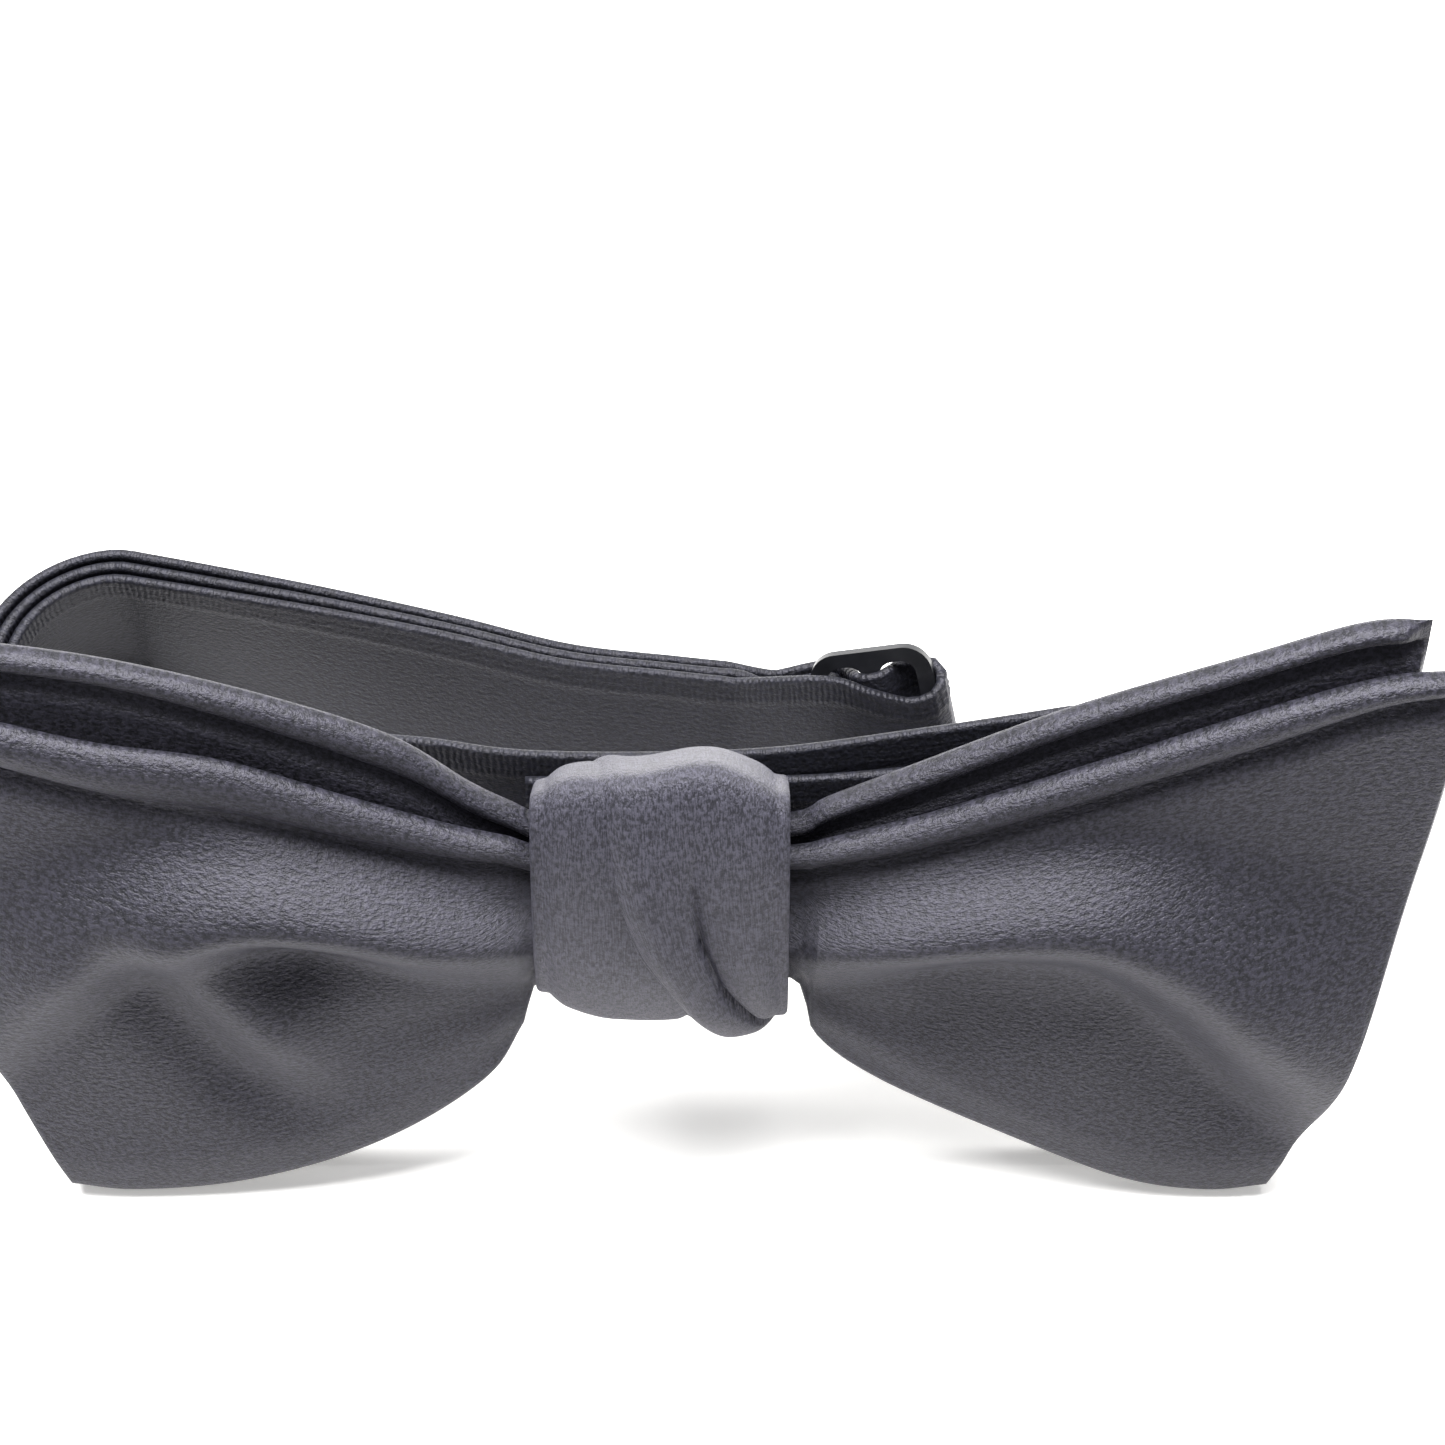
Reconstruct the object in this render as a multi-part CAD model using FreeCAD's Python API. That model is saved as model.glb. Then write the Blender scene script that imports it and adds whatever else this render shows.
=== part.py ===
"""Pre-tied satin bow tie on an adjustable neckband, resting on its wing corners with the band folded behind.

Working frame: X across the bow, Y away from the wearer's front, Z up, table at Z = 0, millimetres.
The bow leans back on the band. A point of the leaning bow plane is given as (x, h, d): x across, h up
along the face from the table, d outwards from the face.
"""
import FreeCAD, Part
import math
import os

V = FreeCAD.Vector

# ---------------------------------------------------------------- driving dimensions, millimetres and degrees
FACE_ANGLE = 62.0          # the bow's face, from the table
PLY = 0.4                  # satin ply
INTERLINING = 1.0          # interlining inside each bow layer
FRONT_LEVEL = 0.75         # middle of the front bow layer, outwards from the bow plane
BACK_LEVEL = -2.2          # middle of the back bow layer
SWELL = 4.2                # how far the front layer swells at its crest
RIM = 0.03                 # share of a bow layer's length and height that is seam at each edge

BAND_WIDTH = 16.0
BAND = 0.9                 # thickness of one folded strap
LAYER_PITCH = 1.3          # spacing of strap layers along the back run

CUT = 7.0                  # depth of a cutting tool through a plate
METAL = 0.8                # plate thickness of slide, hook and eye
BAR = 1.4                  # width of a bar of the fittings
SLOT = 3.2                 # strap slot, along the strap
SLOT_LENGTH = 17.6         # strap slot, across the strap
FITTING_HEIGHT = SLOT_LENGTH + 2 * BAR - 0.2
LOOP_RADIUS = 1.35         # strap centreline round a bar
SLIDE_TURN = 18.0          # the slide is turned in its own plane
SLIDE_RIGHT_BAR = (23.2, 35.2, 12.3)
SLIDE_LEAN = 30.0
BAR_PITCH = BAR + SLOT

HOOK_BAR = (-45.5, 23.35, 11.0)
EYE_BAR = (20.5, 26.2, 18.0)
LOOP_REACH = 4.4           # a strap's two layers come together this far from a hook or eye bar
HOOK_SPREAD = 0.65         # half the gap between the layers there
EYE_SPREAD = 0.5
TONGUE_HALF = 3.5          # half height of the hook's tongue
EYE_WINDOW = (5.0, 9.0)    # length and height of the eye's window

KNOT_CENTRE_H = 31.2
KNOT_CENTRE_D = 0.0
KNOT_INSIDE = (10.3, 4.5)  # half height and half depth of the space in the knot
WRAP = 0.9                 # thickness of one turn of the knot
KNOT_POWER = 5.0           # squareness of the knot's section
KNOT_TOP_SLOPE = 0.4       # how the knot's top falls away towards the back
UNDER_TURN = (-10.2, 3.0)  # the knot's two turns, across the bow
OVER_TURN = (-7.0, 9.4)
TURN_GAP = 0.06            # between the two turns
OVER_EDGE = ((-1.0, 18.0), (-6.6, 44.0))    # the over turn's slanting left edge, low and high (x, h)
PADDING_HALF = 5.5         # half length of the padding
PADDING_FRONT = 2.7        # where the padding starts, outwards from the bow plane

BINDING = 0.35             # thread wound round the gathered middle
BINDING_TURNS = 4
BINDING_PITCH = 0.9
BINDING_CLEAR = 0.1        # between the thread and the gathered satin
GATHER = (22.2, 35.1)      # bottom and top of the gathered middle
THREAD = 0.5               # thickness of a bar tack or stitch
TACK_HEIGHT = 12.0
STITCHES = 5
STITCH_START = (1.2, 26.0)  # the lowest stitch (x, h)
STITCH_PITCH = 2.4
STITCH_LENGTH = 2.2
STITCH_DEPTH = 2.9         # the knot's stitches go back through both straps
STITCH_GRIP = 0.2          # how far they reach into the knot
ARC_STEP = math.radians(24)
RUN_STEP = 6.0             # spacing of strap sections along straight runs
FLOW_STEP = 2.4            # spacing of strap sections along curved runs

# top and bottom outline of each bow layer, from left tip to right tip: (x top, h top, x bottom, h bottom)
FRONT_OUTLINE = [
    (-61.5, 48.3, -50.2, 0.7), (-54.0, 46.8, -44.8, 0.0), (-44.2, 44.2, -36.5, 0.8),
    (-34.5, 42.6, -28.0, 3.4), (-25.4, 39.4, -20.5, 7.4), (-17.2, 36.6, -14.6, 12.4),
    (-12.4, 35.4, -11.8, 17.4), (-9.8, 34.6, -9.8, 21.9), (0.0, 34.2, 0.0, 22.4),
    (9.8, 34.6, 9.8, 21.9), (12.6, 35.2, 11.8, 16.4), (20.4, 37.6, 17.4, 11.6),
    (33.3, 42.4, 27.8, 5.9), (46.0, 47.3, 37.6, 1.3), (54.5, 50.0, 44.6, 0.0),
    (61.2, 50.6, 50.0, 0.6)]
BACK_OUTLINE = [
    (-60.0, 52.2, -48.4, 3.0), (-51.0, 51.2, -42.0, 2.2), (-42.3, 49.7, -34.5, 3.0),
    (-31.7, 46.8, -26.0, 5.8), (-21.6, 43.0, -18.4, 10.4), (-15.6, 38.6, -13.8, 14.4),
    (-12.2, 36.6, -11.6, 18.6), (-9.8, 35.6, -9.8, 22.2), (0.0, 35.0, 0.0, 22.6),
    (9.8, 35.6, 9.8, 22.2), (12.4, 37.0, 11.6, 18.0), (17.6, 39.4, 15.0, 13.6),
    (31.1, 45.4, 26.0, 7.6), (45.0, 50.3, 36.0, 3.2), (53.0, 53.0, 43.0, 2.2),
    (58.2, 53.4, 48.4, 2.8)]
COLUMNS = 31               # points along each bow layer's surfaces
OUTER_BULGE = 2.0          # the wings' outer edges curve outwards
ROWS = 17                  # points up each bow layer's surfaces
CREST_SHARE = 0.6          # height of the swell's crest, as a share of the wing's height
CREASE_SHARE = 0.93        # height of the crease under the rolled top edge


def on_bow(x, h, d):
    """A point given on the leaning bow plane."""
    a = math.radians(FACE_ANGLE)
    return V(x, h * math.cos(a) - d * math.sin(a), h * math.sin(a) + d * math.cos(a))


def smooth(t):
    """0 to 1 with level ends."""
    t = min(max(t, 0.0), 1.0)
    return t * t * (3 - 2 * t)


def solid_of(faces):
    """A solid from faces that close up along shared edges."""
    shell = Part.makeShell(faces)
    shell.sewShape()
    solid = Part.makeSolid(shell)
    if solid.Volume < 0:
        solid.reverse()
    return solid


# ---------------------------------------------------------------- bow layers
def swell_at(x):
    """How much of the swell a column of the front layer has."""
    near_knot = 0.28 + 0.72 * smooth((abs(x) - 10.0) / 8.0) if abs(x) > 9 else 0.28 * smooth(abs(x) / 9.0)
    near_tip = 1.0 - smooth((abs(x) - 34.0) / 22.0)
    return near_knot * near_tip


def even_columns(outline):
    """The outline's columns, spaced evenly along the bow."""
    tops = [V(x, h, 0) for x, h, _, _ in outline]
    bottoms = [V(x, h, 0) for _, _, x, h in outline]
    steps = [0.0]
    for i in range(1, len(outline)):
        steps.append(steps[-1] + (tops[i] - tops[i - 1]).Length + (bottoms[i] - bottoms[i - 1]).Length)
    curves = []
    for points in (tops, bottoms):
        curve = Part.BSplineCurve()
        curve.interpolate(Points=points, Parameters=steps)
        curves.append(curve)
    columns = []
    for k in range(COLUMNS):
        top, bottom = (curve.value(steps[-1] * k / (COLUMNS - 1)) for curve in curves)
        columns.append((top.x, top.y, bottom.x, bottom.y))
    return columns


def swell_profile(share):
    """The swell's height up the wing: a slow rise to the crest, then down to the crease."""
    if share < CREST_SHARE:
        return smooth(share / CREST_SHARE)
    return 1.0 - 0.85 * smooth((share - CREST_SHARE) / (CREASE_SHARE - CREST_SHARE))


def bow_grid(outline, level, offset, swell, taper):
    """Points of one surface of a bow layer; taper is the offset's share that stays at the rim."""
    grid = []
    last = COLUMNS - 1
    for i, (x_top, h_top, x_bottom, h_bottom) in enumerate(even_columns(outline)):
        column = []
        for j in range(ROWS):
            share = j / (ROWS - 1)
            bulge = OUTER_BULGE * 4 * share * (1 - share) * smooth((abs(x_top) - 40.0) / 20.0)
            x = x_bottom + (x_top - x_bottom) * share
            x += math.copysign(bulge, x_top) if abs(x_top) > 1 else 0.0
            h = h_bottom + (h_top - h_bottom) * share
            rim = min(1.0, i, last - i, j, ROWS - 1 - j)
            d = level + swell * swell_profile(share) * swell_at(x_top) + offset * (taper + (1 - taper) * rim)
            column.append(on_bow(x, h, d))
        grid.append(column)
    return grid


def surface_through(grid):
    surface = Part.BSplineSurface()
    surface.interpolate(grid)
    return surface


def between(one, other):
    """The closed solid between two surfaces with matching outlines."""
    u0, u1, v0, v1 = one.bounds()
    s0, s1, t0, t1 = other.bounds()
    sides = [(one.uIso(u0), other.uIso(s0)), (one.uIso(u1), other.uIso(s1)),
             (one.vIso(v0), other.vIso(t0)), (one.vIso(v1), other.vIso(t1))]
    faces = [one.toShape(), other.toShape()]
    faces += [Part.makeRuledSurface(a.toShape(), b.toShape(), 1) for a, b in sides]
    return solid_of(faces)


def inset(surface):
    """The part of a surface inside its seam."""
    part = surface.copy()
    u0, u1, v0, v1 = part.bounds()
    du, dv = (u1 - u0) * RIM, (v1 - v0) * RIM
    part.segment(u0 + du, u1 - du, v0 + dv, v1 - dv)
    return part


def bow_layer(name, outline, level, swell):
    """Face ply, interlining and back ply of one bow layer."""
    half = INTERLINING / 2
    outside = surface_through(bow_grid(outline, level, half + PLY, swell, PLY / (half + PLY)))
    face_inside = surface_through(bow_grid(outline, level, half, swell, 0.02))
    back_inside = surface_through(bow_grid(outline, level, -half, swell, 0.02))
    backside = surface_through(bow_grid(outline, level, -half - PLY, swell, PLY / (half + PLY)))
    return {
        name + "_face_ply": between(outside, face_inside),
        name + "_interlining": between(inset(face_inside), inset(back_inside)),
        name + "_back_ply": between(back_inside, backside),
    }


# ---------------------------------------------------------------- straps
def strap_solid(sections, low=-BAND / 2, high=BAND / 2):
    """A strap through sections (centre, half-width vector, normal), between two levels along the normal."""
    steps = [0.0]
    for a, b in zip(sections, sections[1:]):
        steps.append(steps[-1] + (b[0] - a[0]).Length)

    def rail(side, level):
        points = [c + half * side + n * level for c, half, n in sections]
        curve = Part.BSplineCurve()
        curve.interpolate(Points=points, Parameters=steps)
        return points, curve.toShape()

    (p0, e0), (p1, e1), (p2, e2), (p3, e3) = rail(-1, low), rail(1, low), rail(1, high), rail(-1, high)
    faces = [Part.makeRuledSurface(a, b, 1) for a, b in ((e0, e1), (e1, e2), (e2, e3), (e3, e0))]
    for k in (0, -1):
        faces.append(Part.Face(Part.makePolygon([p0[k], p1[k], p2[k], p3[k], p0[k]])))
    return solid_of(faces)


def section(centre, tangent, lean, half_width=BAND_WIDTH / 2):
    """A strap's cross-section: the width leans away from the front by the lean angle."""
    tilt = math.radians(lean)
    up = V(0, math.sin(tilt), math.cos(tilt))
    up = (up - tangent * up.dot(tangent)).normalize()
    return centre, up * half_width, up.cross(tangent).normalize()


def rounded(before, corner, after, radius):
    """Points of the arc that rounds one corner of a plan path."""
    back = (before - corner).normalize()
    ahead = (after - corner).normalize()
    half_turn = (math.pi - back.getAngle(ahead)) / 2
    middle = corner + (back + ahead).normalize() * (radius / math.cos(half_turn))
    start = corner + back * (radius * math.tan(half_turn)) - middle
    end = corner + ahead * (radius * math.tan(half_turn)) - middle
    count = max(2, math.ceil(2 * half_turn / ARC_STEP))
    points = []
    for k in range(count + 1):
        angle = 2 * half_turn * k / count
        arm = start * math.sin(2 * half_turn - angle) + end * math.sin(angle)
        points.append(middle + arm * (1 / math.sin(2 * half_turn)))
    return points


def route(corners, offset=0.0):
    """Sections along straight runs joined by arcs, from corners (x, y, z, lean, radius).

    Height and lean change along the runs and stay the same round each arc.
    """
    plan = [V(x, y, 0) for x, y, *_ in corners]
    stops = [[plan[0]]]
    stops += [rounded(plan[i - 1], plan[i], plan[i + 1], corners[i][4]) for i in range(1, len(plan) - 1)]
    stops += [[plan[-1]]]
    stations = []
    for i, arc in enumerate(stops):
        stations += [(point, float(i)) for point in arc]
        if i + 1 < len(stops):
            run = stops[i + 1][0] - arc[-1]
            pieces = max(1, round(run.Length / RUN_STEP))
            stations += [(arc[-1] + run * (j / pieces), i + j / pieces) for j in range(1, pieces)]
    centres, leans = [], []
    for point, station in stations:
        i = min(int(station), len(corners) - 2)
        share = smooth(station - i)
        centres.append(V(point.x, point.y, corners[i][2] + (corners[i + 1][2] - corners[i][2]) * share))
        leans.append(corners[i][3] + (corners[i + 1][3] - corners[i][3]) * share)
    sections = []
    for i, centre in enumerate(centres):
        ahead = centres[min(i + 1, len(centres) - 1)]
        behind = centres[max(i - 1, 0)]
        middle, half, normal = section(centre, (ahead - behind).normalize(), leans[i])
        sections.append((middle + normal * offset, half, normal))
    return sections


# ---------------------------------------------------------------- the slide's own directions
ALONG = V(0.983, -0.185, 0).normalize()
_, UPRIGHT, FACING = section(V(0, 0, 0), -ALONG, SLIDE_LEAN, 1.0)
TURN = math.radians(SLIDE_TURN)
SLIDE_ALONG = ALONG * math.cos(TURN) + UPRIGHT * math.sin(TURN)
SLIDE_UP = UPRIGHT * math.cos(TURN) - ALONG * math.sin(TURN)


def at_slide(a, b, n):
    """A point in the slide's own axes: along from the right bar, up from the middle, outwards."""
    return V(*SLIDE_RIGHT_BAR) + SLIDE_ALONG * a + SLIDE_UP * b + FACING * n


def slide_sections(path, lift, half_width):
    """Sections of a strap that passes through the slide, from (a, n) points; rulings follow the bars."""
    centres = [at_slide(a, 0, n) for a, n in path]
    sections = []
    for i, centre in enumerate(centres):
        share = i / (len(centres) - 1)
        ahead = centres[min(i + 1, len(centres) - 1)]
        behind = centres[max(i - 1, 0)]
        normal = SLIDE_UP.cross(ahead - behind).normalize()
        late = smooth((share - 0.5) * 2)
        up = lift[0] + (lift[1] - lift[0]) * late
        half = half_width[0] + (half_width[1] - half_width[0]) * late
        sections.append((centre + SLIDE_UP * up, SLIDE_UP * half, normal))
    return sections


def along_slide(t, w, n, blend, half_width):
    """A section of the strap in front of the slide; blend 0 leans with the strap, 1 follows the bars."""
    centre = V(*SLIDE_RIGHT_BAR) + ALONG * t + UPRIGHT * w + FACING * n
    side = UPRIGHT * (1 - blend) + SLIDE_UP * blend
    return centre, side.normalize() * half_width, FACING


def turned(sections):
    """The same strap sections read from the other end."""
    return [(c, half, n * -1) for c, half, n in reversed(sections)]


# ---------------------------------------------------------------- plates, bars and tacks
def frame_box(origin, x_axis, z_axis, x_range, y_range, z_range):
    """A box in local axes: x along the strap, z up, y out of the plate."""
    y_axis = z_axis.cross(x_axis)
    place = FreeCAD.Placement(origin, FreeCAD.Rotation(x_axis, y_axis, z_axis, "XYZ"))
    box = Part.makeBox(x_range[1] - x_range[0], y_range[1] - y_range[0], z_range[1] - z_range[0],
                       V(x_range[0], y_range[0], z_range[0]))
    box.Placement = place
    return box


def rounded_plate(length, height, radius):
    """A plate in the XZ plane from x = 0 to length, centred on z and on y, with rounded upright corners."""
    plate = Part.makeBox(length, METAL, height, V(0, -METAL / 2, -height / 2))
    corners = [e for e in plate.Edges if abs(e.Length - METAL) < 1e-6]
    return plate.makeFillet(radius, corners)


def slot_hole(x_from, length, height, radius):
    hole = Part.makeBox(length, CUT, height, V(x_from, -CUT / 2, -height / 2))
    corners = [e for e in hole.Edges if abs(e.Length - CUT) < 1e-6]
    return hole.makeFillet(radius, corners)


def placed(shape, origin, x_axis, z_axis):
    y_axis = z_axis.cross(x_axis)
    shape = shape.copy()
    turn = FreeCAD.Placement(origin, FreeCAD.Rotation(x_axis, y_axis, z_axis, "XYZ"))
    shape.Placement = turn.multiply(shape.Placement)
    return shape


def slide_frame():
    """Three-bar slide; its right bar is at a = 0."""
    length = 2 * BAR_PITCH + BAR
    plate = rounded_plate(length, FITTING_HEIGHT, 2.4)
    for k in (0, 1):
        plate = plate.cut(slot_hole(BAR + k * BAR_PITCH, SLOT, SLOT_LENGTH, 1.3))
    return placed(plate, at_slide(-2 * BAR_PITCH - BAR / 2, 0, 0), SLIDE_ALONG, SLIDE_UP)


def fitting_loop():
    """A flat loop for the strap: a bar at x = 0, the slot, and a cross bar."""
    plate = rounded_plate(2 * BAR + SLOT, FITTING_HEIGHT, 2.0)
    return plate.cut(slot_hole(BAR, SLOT, SLOT_LENGTH, 1.3))


def hook_plate():
    """A strap loop with a tongue that bends back into a hook."""
    path = [(0.0, 0.0), (1.4, 0.0), (3.4, 1.2), (6.6, 1.2), (7.6, 0.75), (7.95, 0.05), (7.6, -0.65),
            (6.8, -1.0), (5.6, -1.0)]
    curve = Part.BSplineCurve()
    curve.interpolate([V(x, y, 0) for x, y in path])
    outer, inner = [], []
    for i in range(25):
        u = curve.FirstParameter + (curve.LastParameter - curve.FirstParameter) * i / 24
        tangent = curve.tangent(u)[0]
        side = V(-tangent.y, tangent.x, 0) * (METAL / 2)
        outer.append(curve.value(u) + side)
        inner.append(curve.value(u) - side)
    outline = Part.makePolygon(outer + inner[::-1] + [outer[0]])
    tongue = Part.Face(outline).extrude(V(0, 0, 2 * TONGUE_HALF))
    tongue.translate(V(2 * BAR + SLOT - 0.3, 0, -TONGUE_HALF))
    plate = fitting_loop().fuse(tongue).removeSplitter()
    plate.translate(V(-BAR / 2, 0, 0))
    return placed(plate, V(*HOOK_BAR), V(1, 0, 0), V(0, 0, 1))


def eye_plate():
    """A strap loop with an open window for the hook."""
    window, window_height = EYE_WINDOW
    plate = fitting_loop()
    nose = rounded_plate(window + 2 * BAR, window_height + 2 * BAR, 2.0)
    nose.translate(V(BAR + SLOT, 0, 0))
    plate = plate.fuse(nose).removeSplitter()
    plate = plate.cut(slot_hole(2 * BAR + SLOT, window, window_height, 1.0))
    plate.translate(V(-BAR / 2, 0, 0))
    return placed(plate, V(*EYE_BAR), V(-1, 0, 0), V(0, 0, 1))


def tack(strap_section, low, high):
    """A bar tack: a dense ridge of thread through the strap layers at one section."""
    centre, half, normal = strap_section
    up = half * (1 / half.Length)
    return frame_box(centre, up.cross(normal), up, (-THREAD / 2, THREAD / 2), (-high, -low),
                     (-TACK_HEIGHT / 2, TACK_HEIGHT / 2))


# ---------------------------------------------------------------- the straps' routes
def round_bar(x, y, side=1):
    """Points half way round a bar at (x, y), bulging to the right for side +1 and to the left for -1."""
    points = []
    for k in range(7):
        angle = -math.pi / 2 + math.pi * k / 6
        points.append((x + side * LOOP_RADIUS * math.cos(angle), y + LOOP_RADIUS * math.sin(angle)))
    return points


def teardrop(bar, side, spread):
    """Plan points of a strap that wraps an upright bar: in on one side, round, and out on the other.

    side is +1 when the strap arrives from the left of the bar, -1 from the right.
    """
    x, y = bar[0], bar[1]
    far, near = x - side * LOOP_REACH, x - side * LOOP_REACH / 2
    half_way = (spread + LOOP_RADIUS) / 2
    points = [(far, y - spread), (near, y - half_way)]
    return points + round_bar(x, y, side) + [(near, y + half_way), (far, y + spread)]


def upright_sections(points, z):
    """Upright sections through plan points at one height."""
    centres = [V(x, y, z) for x, y in points]
    sections = []
    for i, centre in enumerate(centres):
        tangent = (centres[min(i + 1, len(centres) - 1)] - centres[max(i - 1, 0)]).normalize()
        sections.append(section(centre, tangent, 0.0))
    return sections


BACK_RUN_START = (7.4, 36.8, 8.4, 29.0, 0.0)       # where the layers leave the slide
BACK_RUN_BEND = (-9.8, 39.7, 7.35, 28.0, 150.0)
LEFT_BEND = (-58.9, 54.4, 7.95, 0.0, 10.5)
LEFT_RETURN = (-58.9, 24.0, 10.9, 0.0, 7.0)
# free runs of the neckband: x, y, middle height, lean
LONG_STRAP_PATH = [
    (-56.3, 31.9, 8.5, 0.0), (-52.2, 30.1, 9.5, 0.0), (-44.5, 29.7, 11.5, 2.0),
    (-36.0, 28.9, 13.9, 7.0), (-28.0, 27.2, 16.6, 14.0), (-20.0, 24.6, 19.2, 22.0),
    (-12.0, 21.9, 21.2, 28.0), (-1.0, 21.15, 22.2, 28.0), (10.0, 21.45, 22.65, 28.0),
    (22.0, 22.3, 24.35, 28.0), (33.5, 23.4, 25.95, 28.0)]
SHORT_STRAP_PATH = [
    (-11.5, 19.4, 21.25, 28.0), (0.0, 19.4, 21.25, 28.0), (12.0, 19.5, 21.45, 28.0),
    (22.0, 20.0, 22.35, 28.0), (31.0, 20.7, 23.35, 28.0), (39.0, 21.5, 24.05, 26.0),
    (44.0, 22.1, 24.15, 25.0), (47.0, 22.7, 23.9, 25.0), (48.5, 23.9, 23.35, 25.0),
    (47.0, 25.1, 22.8, 25.0), (43.5, 25.9, 22.3, 21.0), (38.5, 26.4, 21.2, 13.0),
    (33.0, 26.4, 19.6, 5.0), (28.5, 26.0, 18.45, 1.0), (24.9, 25.7, 18.05, 0.0)]


# the strap through the slide, in the slide's axes (along, outwards): from behind it, over the middle bar
SLIDE_STRAP_PATH = [
    (-13.5, -1.75), (-11.5, -2.1), (-9.2, -2.45), (-7.5, -1.85), (-6.5, -0.5), (-5.9, 0.55), (-5.3, 1.05),
    (-4.6, 1.15), (-3.9, 1.05), (-3.3, 0.45), (-2.7, -0.4), (-1.9, -1.1), (-0.9, -1.38)]
SLIDE_STRAP_LIFT = (0.3, -1.4)      # up the bars, at its first and last section
SLIDE_STRAP_HALF = (8.0, 7.2)       # half width there
LEFT_BAR = -2 * BAR_PITCH
# the strap's fixed end, before and after it goes round the slide's left bar
END_LOOP_IN = [(LEFT_BAR - 4.3, -0.45), (LEFT_BAR - 2.0, -1.0)]
END_LOOP_OUT = [(LEFT_BAR - 2.0, 1.0), (LEFT_BAR - 4.0, 0.6)]
END_LOOP_LIFT = (-0.2, -0.2)
END_TACK_SHIFT = 0.7
EYE_TACK_SHIFT = -0.6
HOOK_SIDE = (HOOK_BAR[0] - LOOP_REACH - 1.0, 24.0, HOOK_BAR[2] - 0.1, 0.0, 0.0)
LEFT_BEND_END = (-58.9, 35.0, 8.0, 0.0, 0.0)
# the strap in front of the slide, after it turns round the right bar: along, up, outwards, blend, half width
SLIDE_FRONT = [(-4.6, -1.4, 2.4, 0.8, 7.4), (-9.2, -1.3, 2.55, 0.45, 7.8)]


def flowing(start, path):
    """Evenly spaced sections of a strap that flows on from the start through (x, y, z, lean) points."""
    upright = V(0, 0, 1)
    points = [c for c, _, _ in start] + [V(x, y, z) for x, y, z, _ in path]
    leans = [math.degrees(half.getAngle(upright)) for _, half, _ in start] + [lean for *_, lean in path]
    steps = [0.0]
    for a, b in zip(points, points[1:]):
        steps.append(steps[-1] + (b - a).Length)
    line = Part.BSplineCurve()
    line.interpolate(Points=points, Parameters=steps)
    lean_line = Part.BSplineCurve()
    lean_line.interpolate(Points=[V(step, lean, 0) for step, lean in zip(steps, leans)], Parameters=steps)
    first = steps[max(len(start) - 1, 0)]
    count = round((steps[-1] - first) / FLOW_STEP)
    sections = []
    for k in range(count + 1):
        at = first + (steps[-1] - first) * k / count
        sections.append(section(line.value(at), line.tangent(at)[0], lean_line.value(at).y))
    return sections


def build_straps():
    nodes = {}
    # the hook end: rear layer wraps the hook's bar and comes back as the middle layer
    hook_loop = upright_sections(teardrop(HOOK_BAR, 1, HOOK_SPREAD), HOOK_BAR[2])
    to_hook = route([BACK_RUN_START, BACK_RUN_BEND, LEFT_BEND, LEFT_RETURN, HOOK_SIDE])
    behind = [(c + n * -LAYER_PITCH, h, n) for c, h, n in to_hook]

    # running strap through the slide, from behind it, over the middle bar and round the right bar
    through = SLIDE_STRAP_PATH + round_bar(0, 0)[1:] + [(-1.6, 1.55)]
    slide_strap = slide_sections(through, SLIDE_STRAP_LIFT, SLIDE_STRAP_HALF)
    nodes["strap_through_slide"] = strap_solid(slide_strap)

    # fixed end, sewn round the slide's left bar
    fixed = END_LOOP_IN + round_bar(LEFT_BAR, 0) + END_LOOP_OUT
    fixed_end = slide_sections(fixed, END_LOOP_LIFT, (BAND_WIDTH / 2, BAND_WIDTH / 2))
    nodes["strap_end_loop"] = strap_solid(fixed_end)
    nodes["strap_end_bar_tack"] = tack(fixed_end[0], -1.35, 0.3)
    nodes["strap_end_bar_tack"].translate(SLIDE_ALONG * END_TACK_SHIFT)

    # rear layer: slide, left bend, round the hook's bar
    nodes["doubled_strap_rear_layer"] = strap_solid(turned(slide_strap[:1]) + behind[1:] + hook_loop)
    # middle layer: from the fixed end to the hook's loop
    nodes["doubled_strap_middle_layer"] = strap_solid(turned(fixed_end[:1]) + to_hook[1:])

    # long strap: from the slide along the front of the back run, left bend, behind the left wing
    front_end = [slide_strap[-1]] + [along_slide(*station) for station in SLIDE_FRONT]
    back_run = route([BACK_RUN_START, BACK_RUN_BEND, LEFT_BEND, LEFT_BEND_END], offset=LAYER_PITCH)
    nodes["long_strap"] = strap_solid(front_end + back_run[1:-1] + flowing(back_run[-3:], LONG_STRAP_PATH))

    # short strap: behind the knot, out behind the right wing, folded back to the eye
    short = flowing([], SHORT_STRAP_PATH)
    eye_loop = upright_sections(teardrop(EYE_BAR, -1, EYE_SPREAD), EYE_BAR[2])
    nodes["short_strap"] = strap_solid(short[:-1] + eye_loop)
    nodes["eye_loop_bar_tack"] = tack(eye_loop[0], -1.4, 0.4)
    nodes["eye_loop_bar_tack"].translate(V(EYE_TACK_SHIFT, 0, 0))
    return nodes


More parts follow.
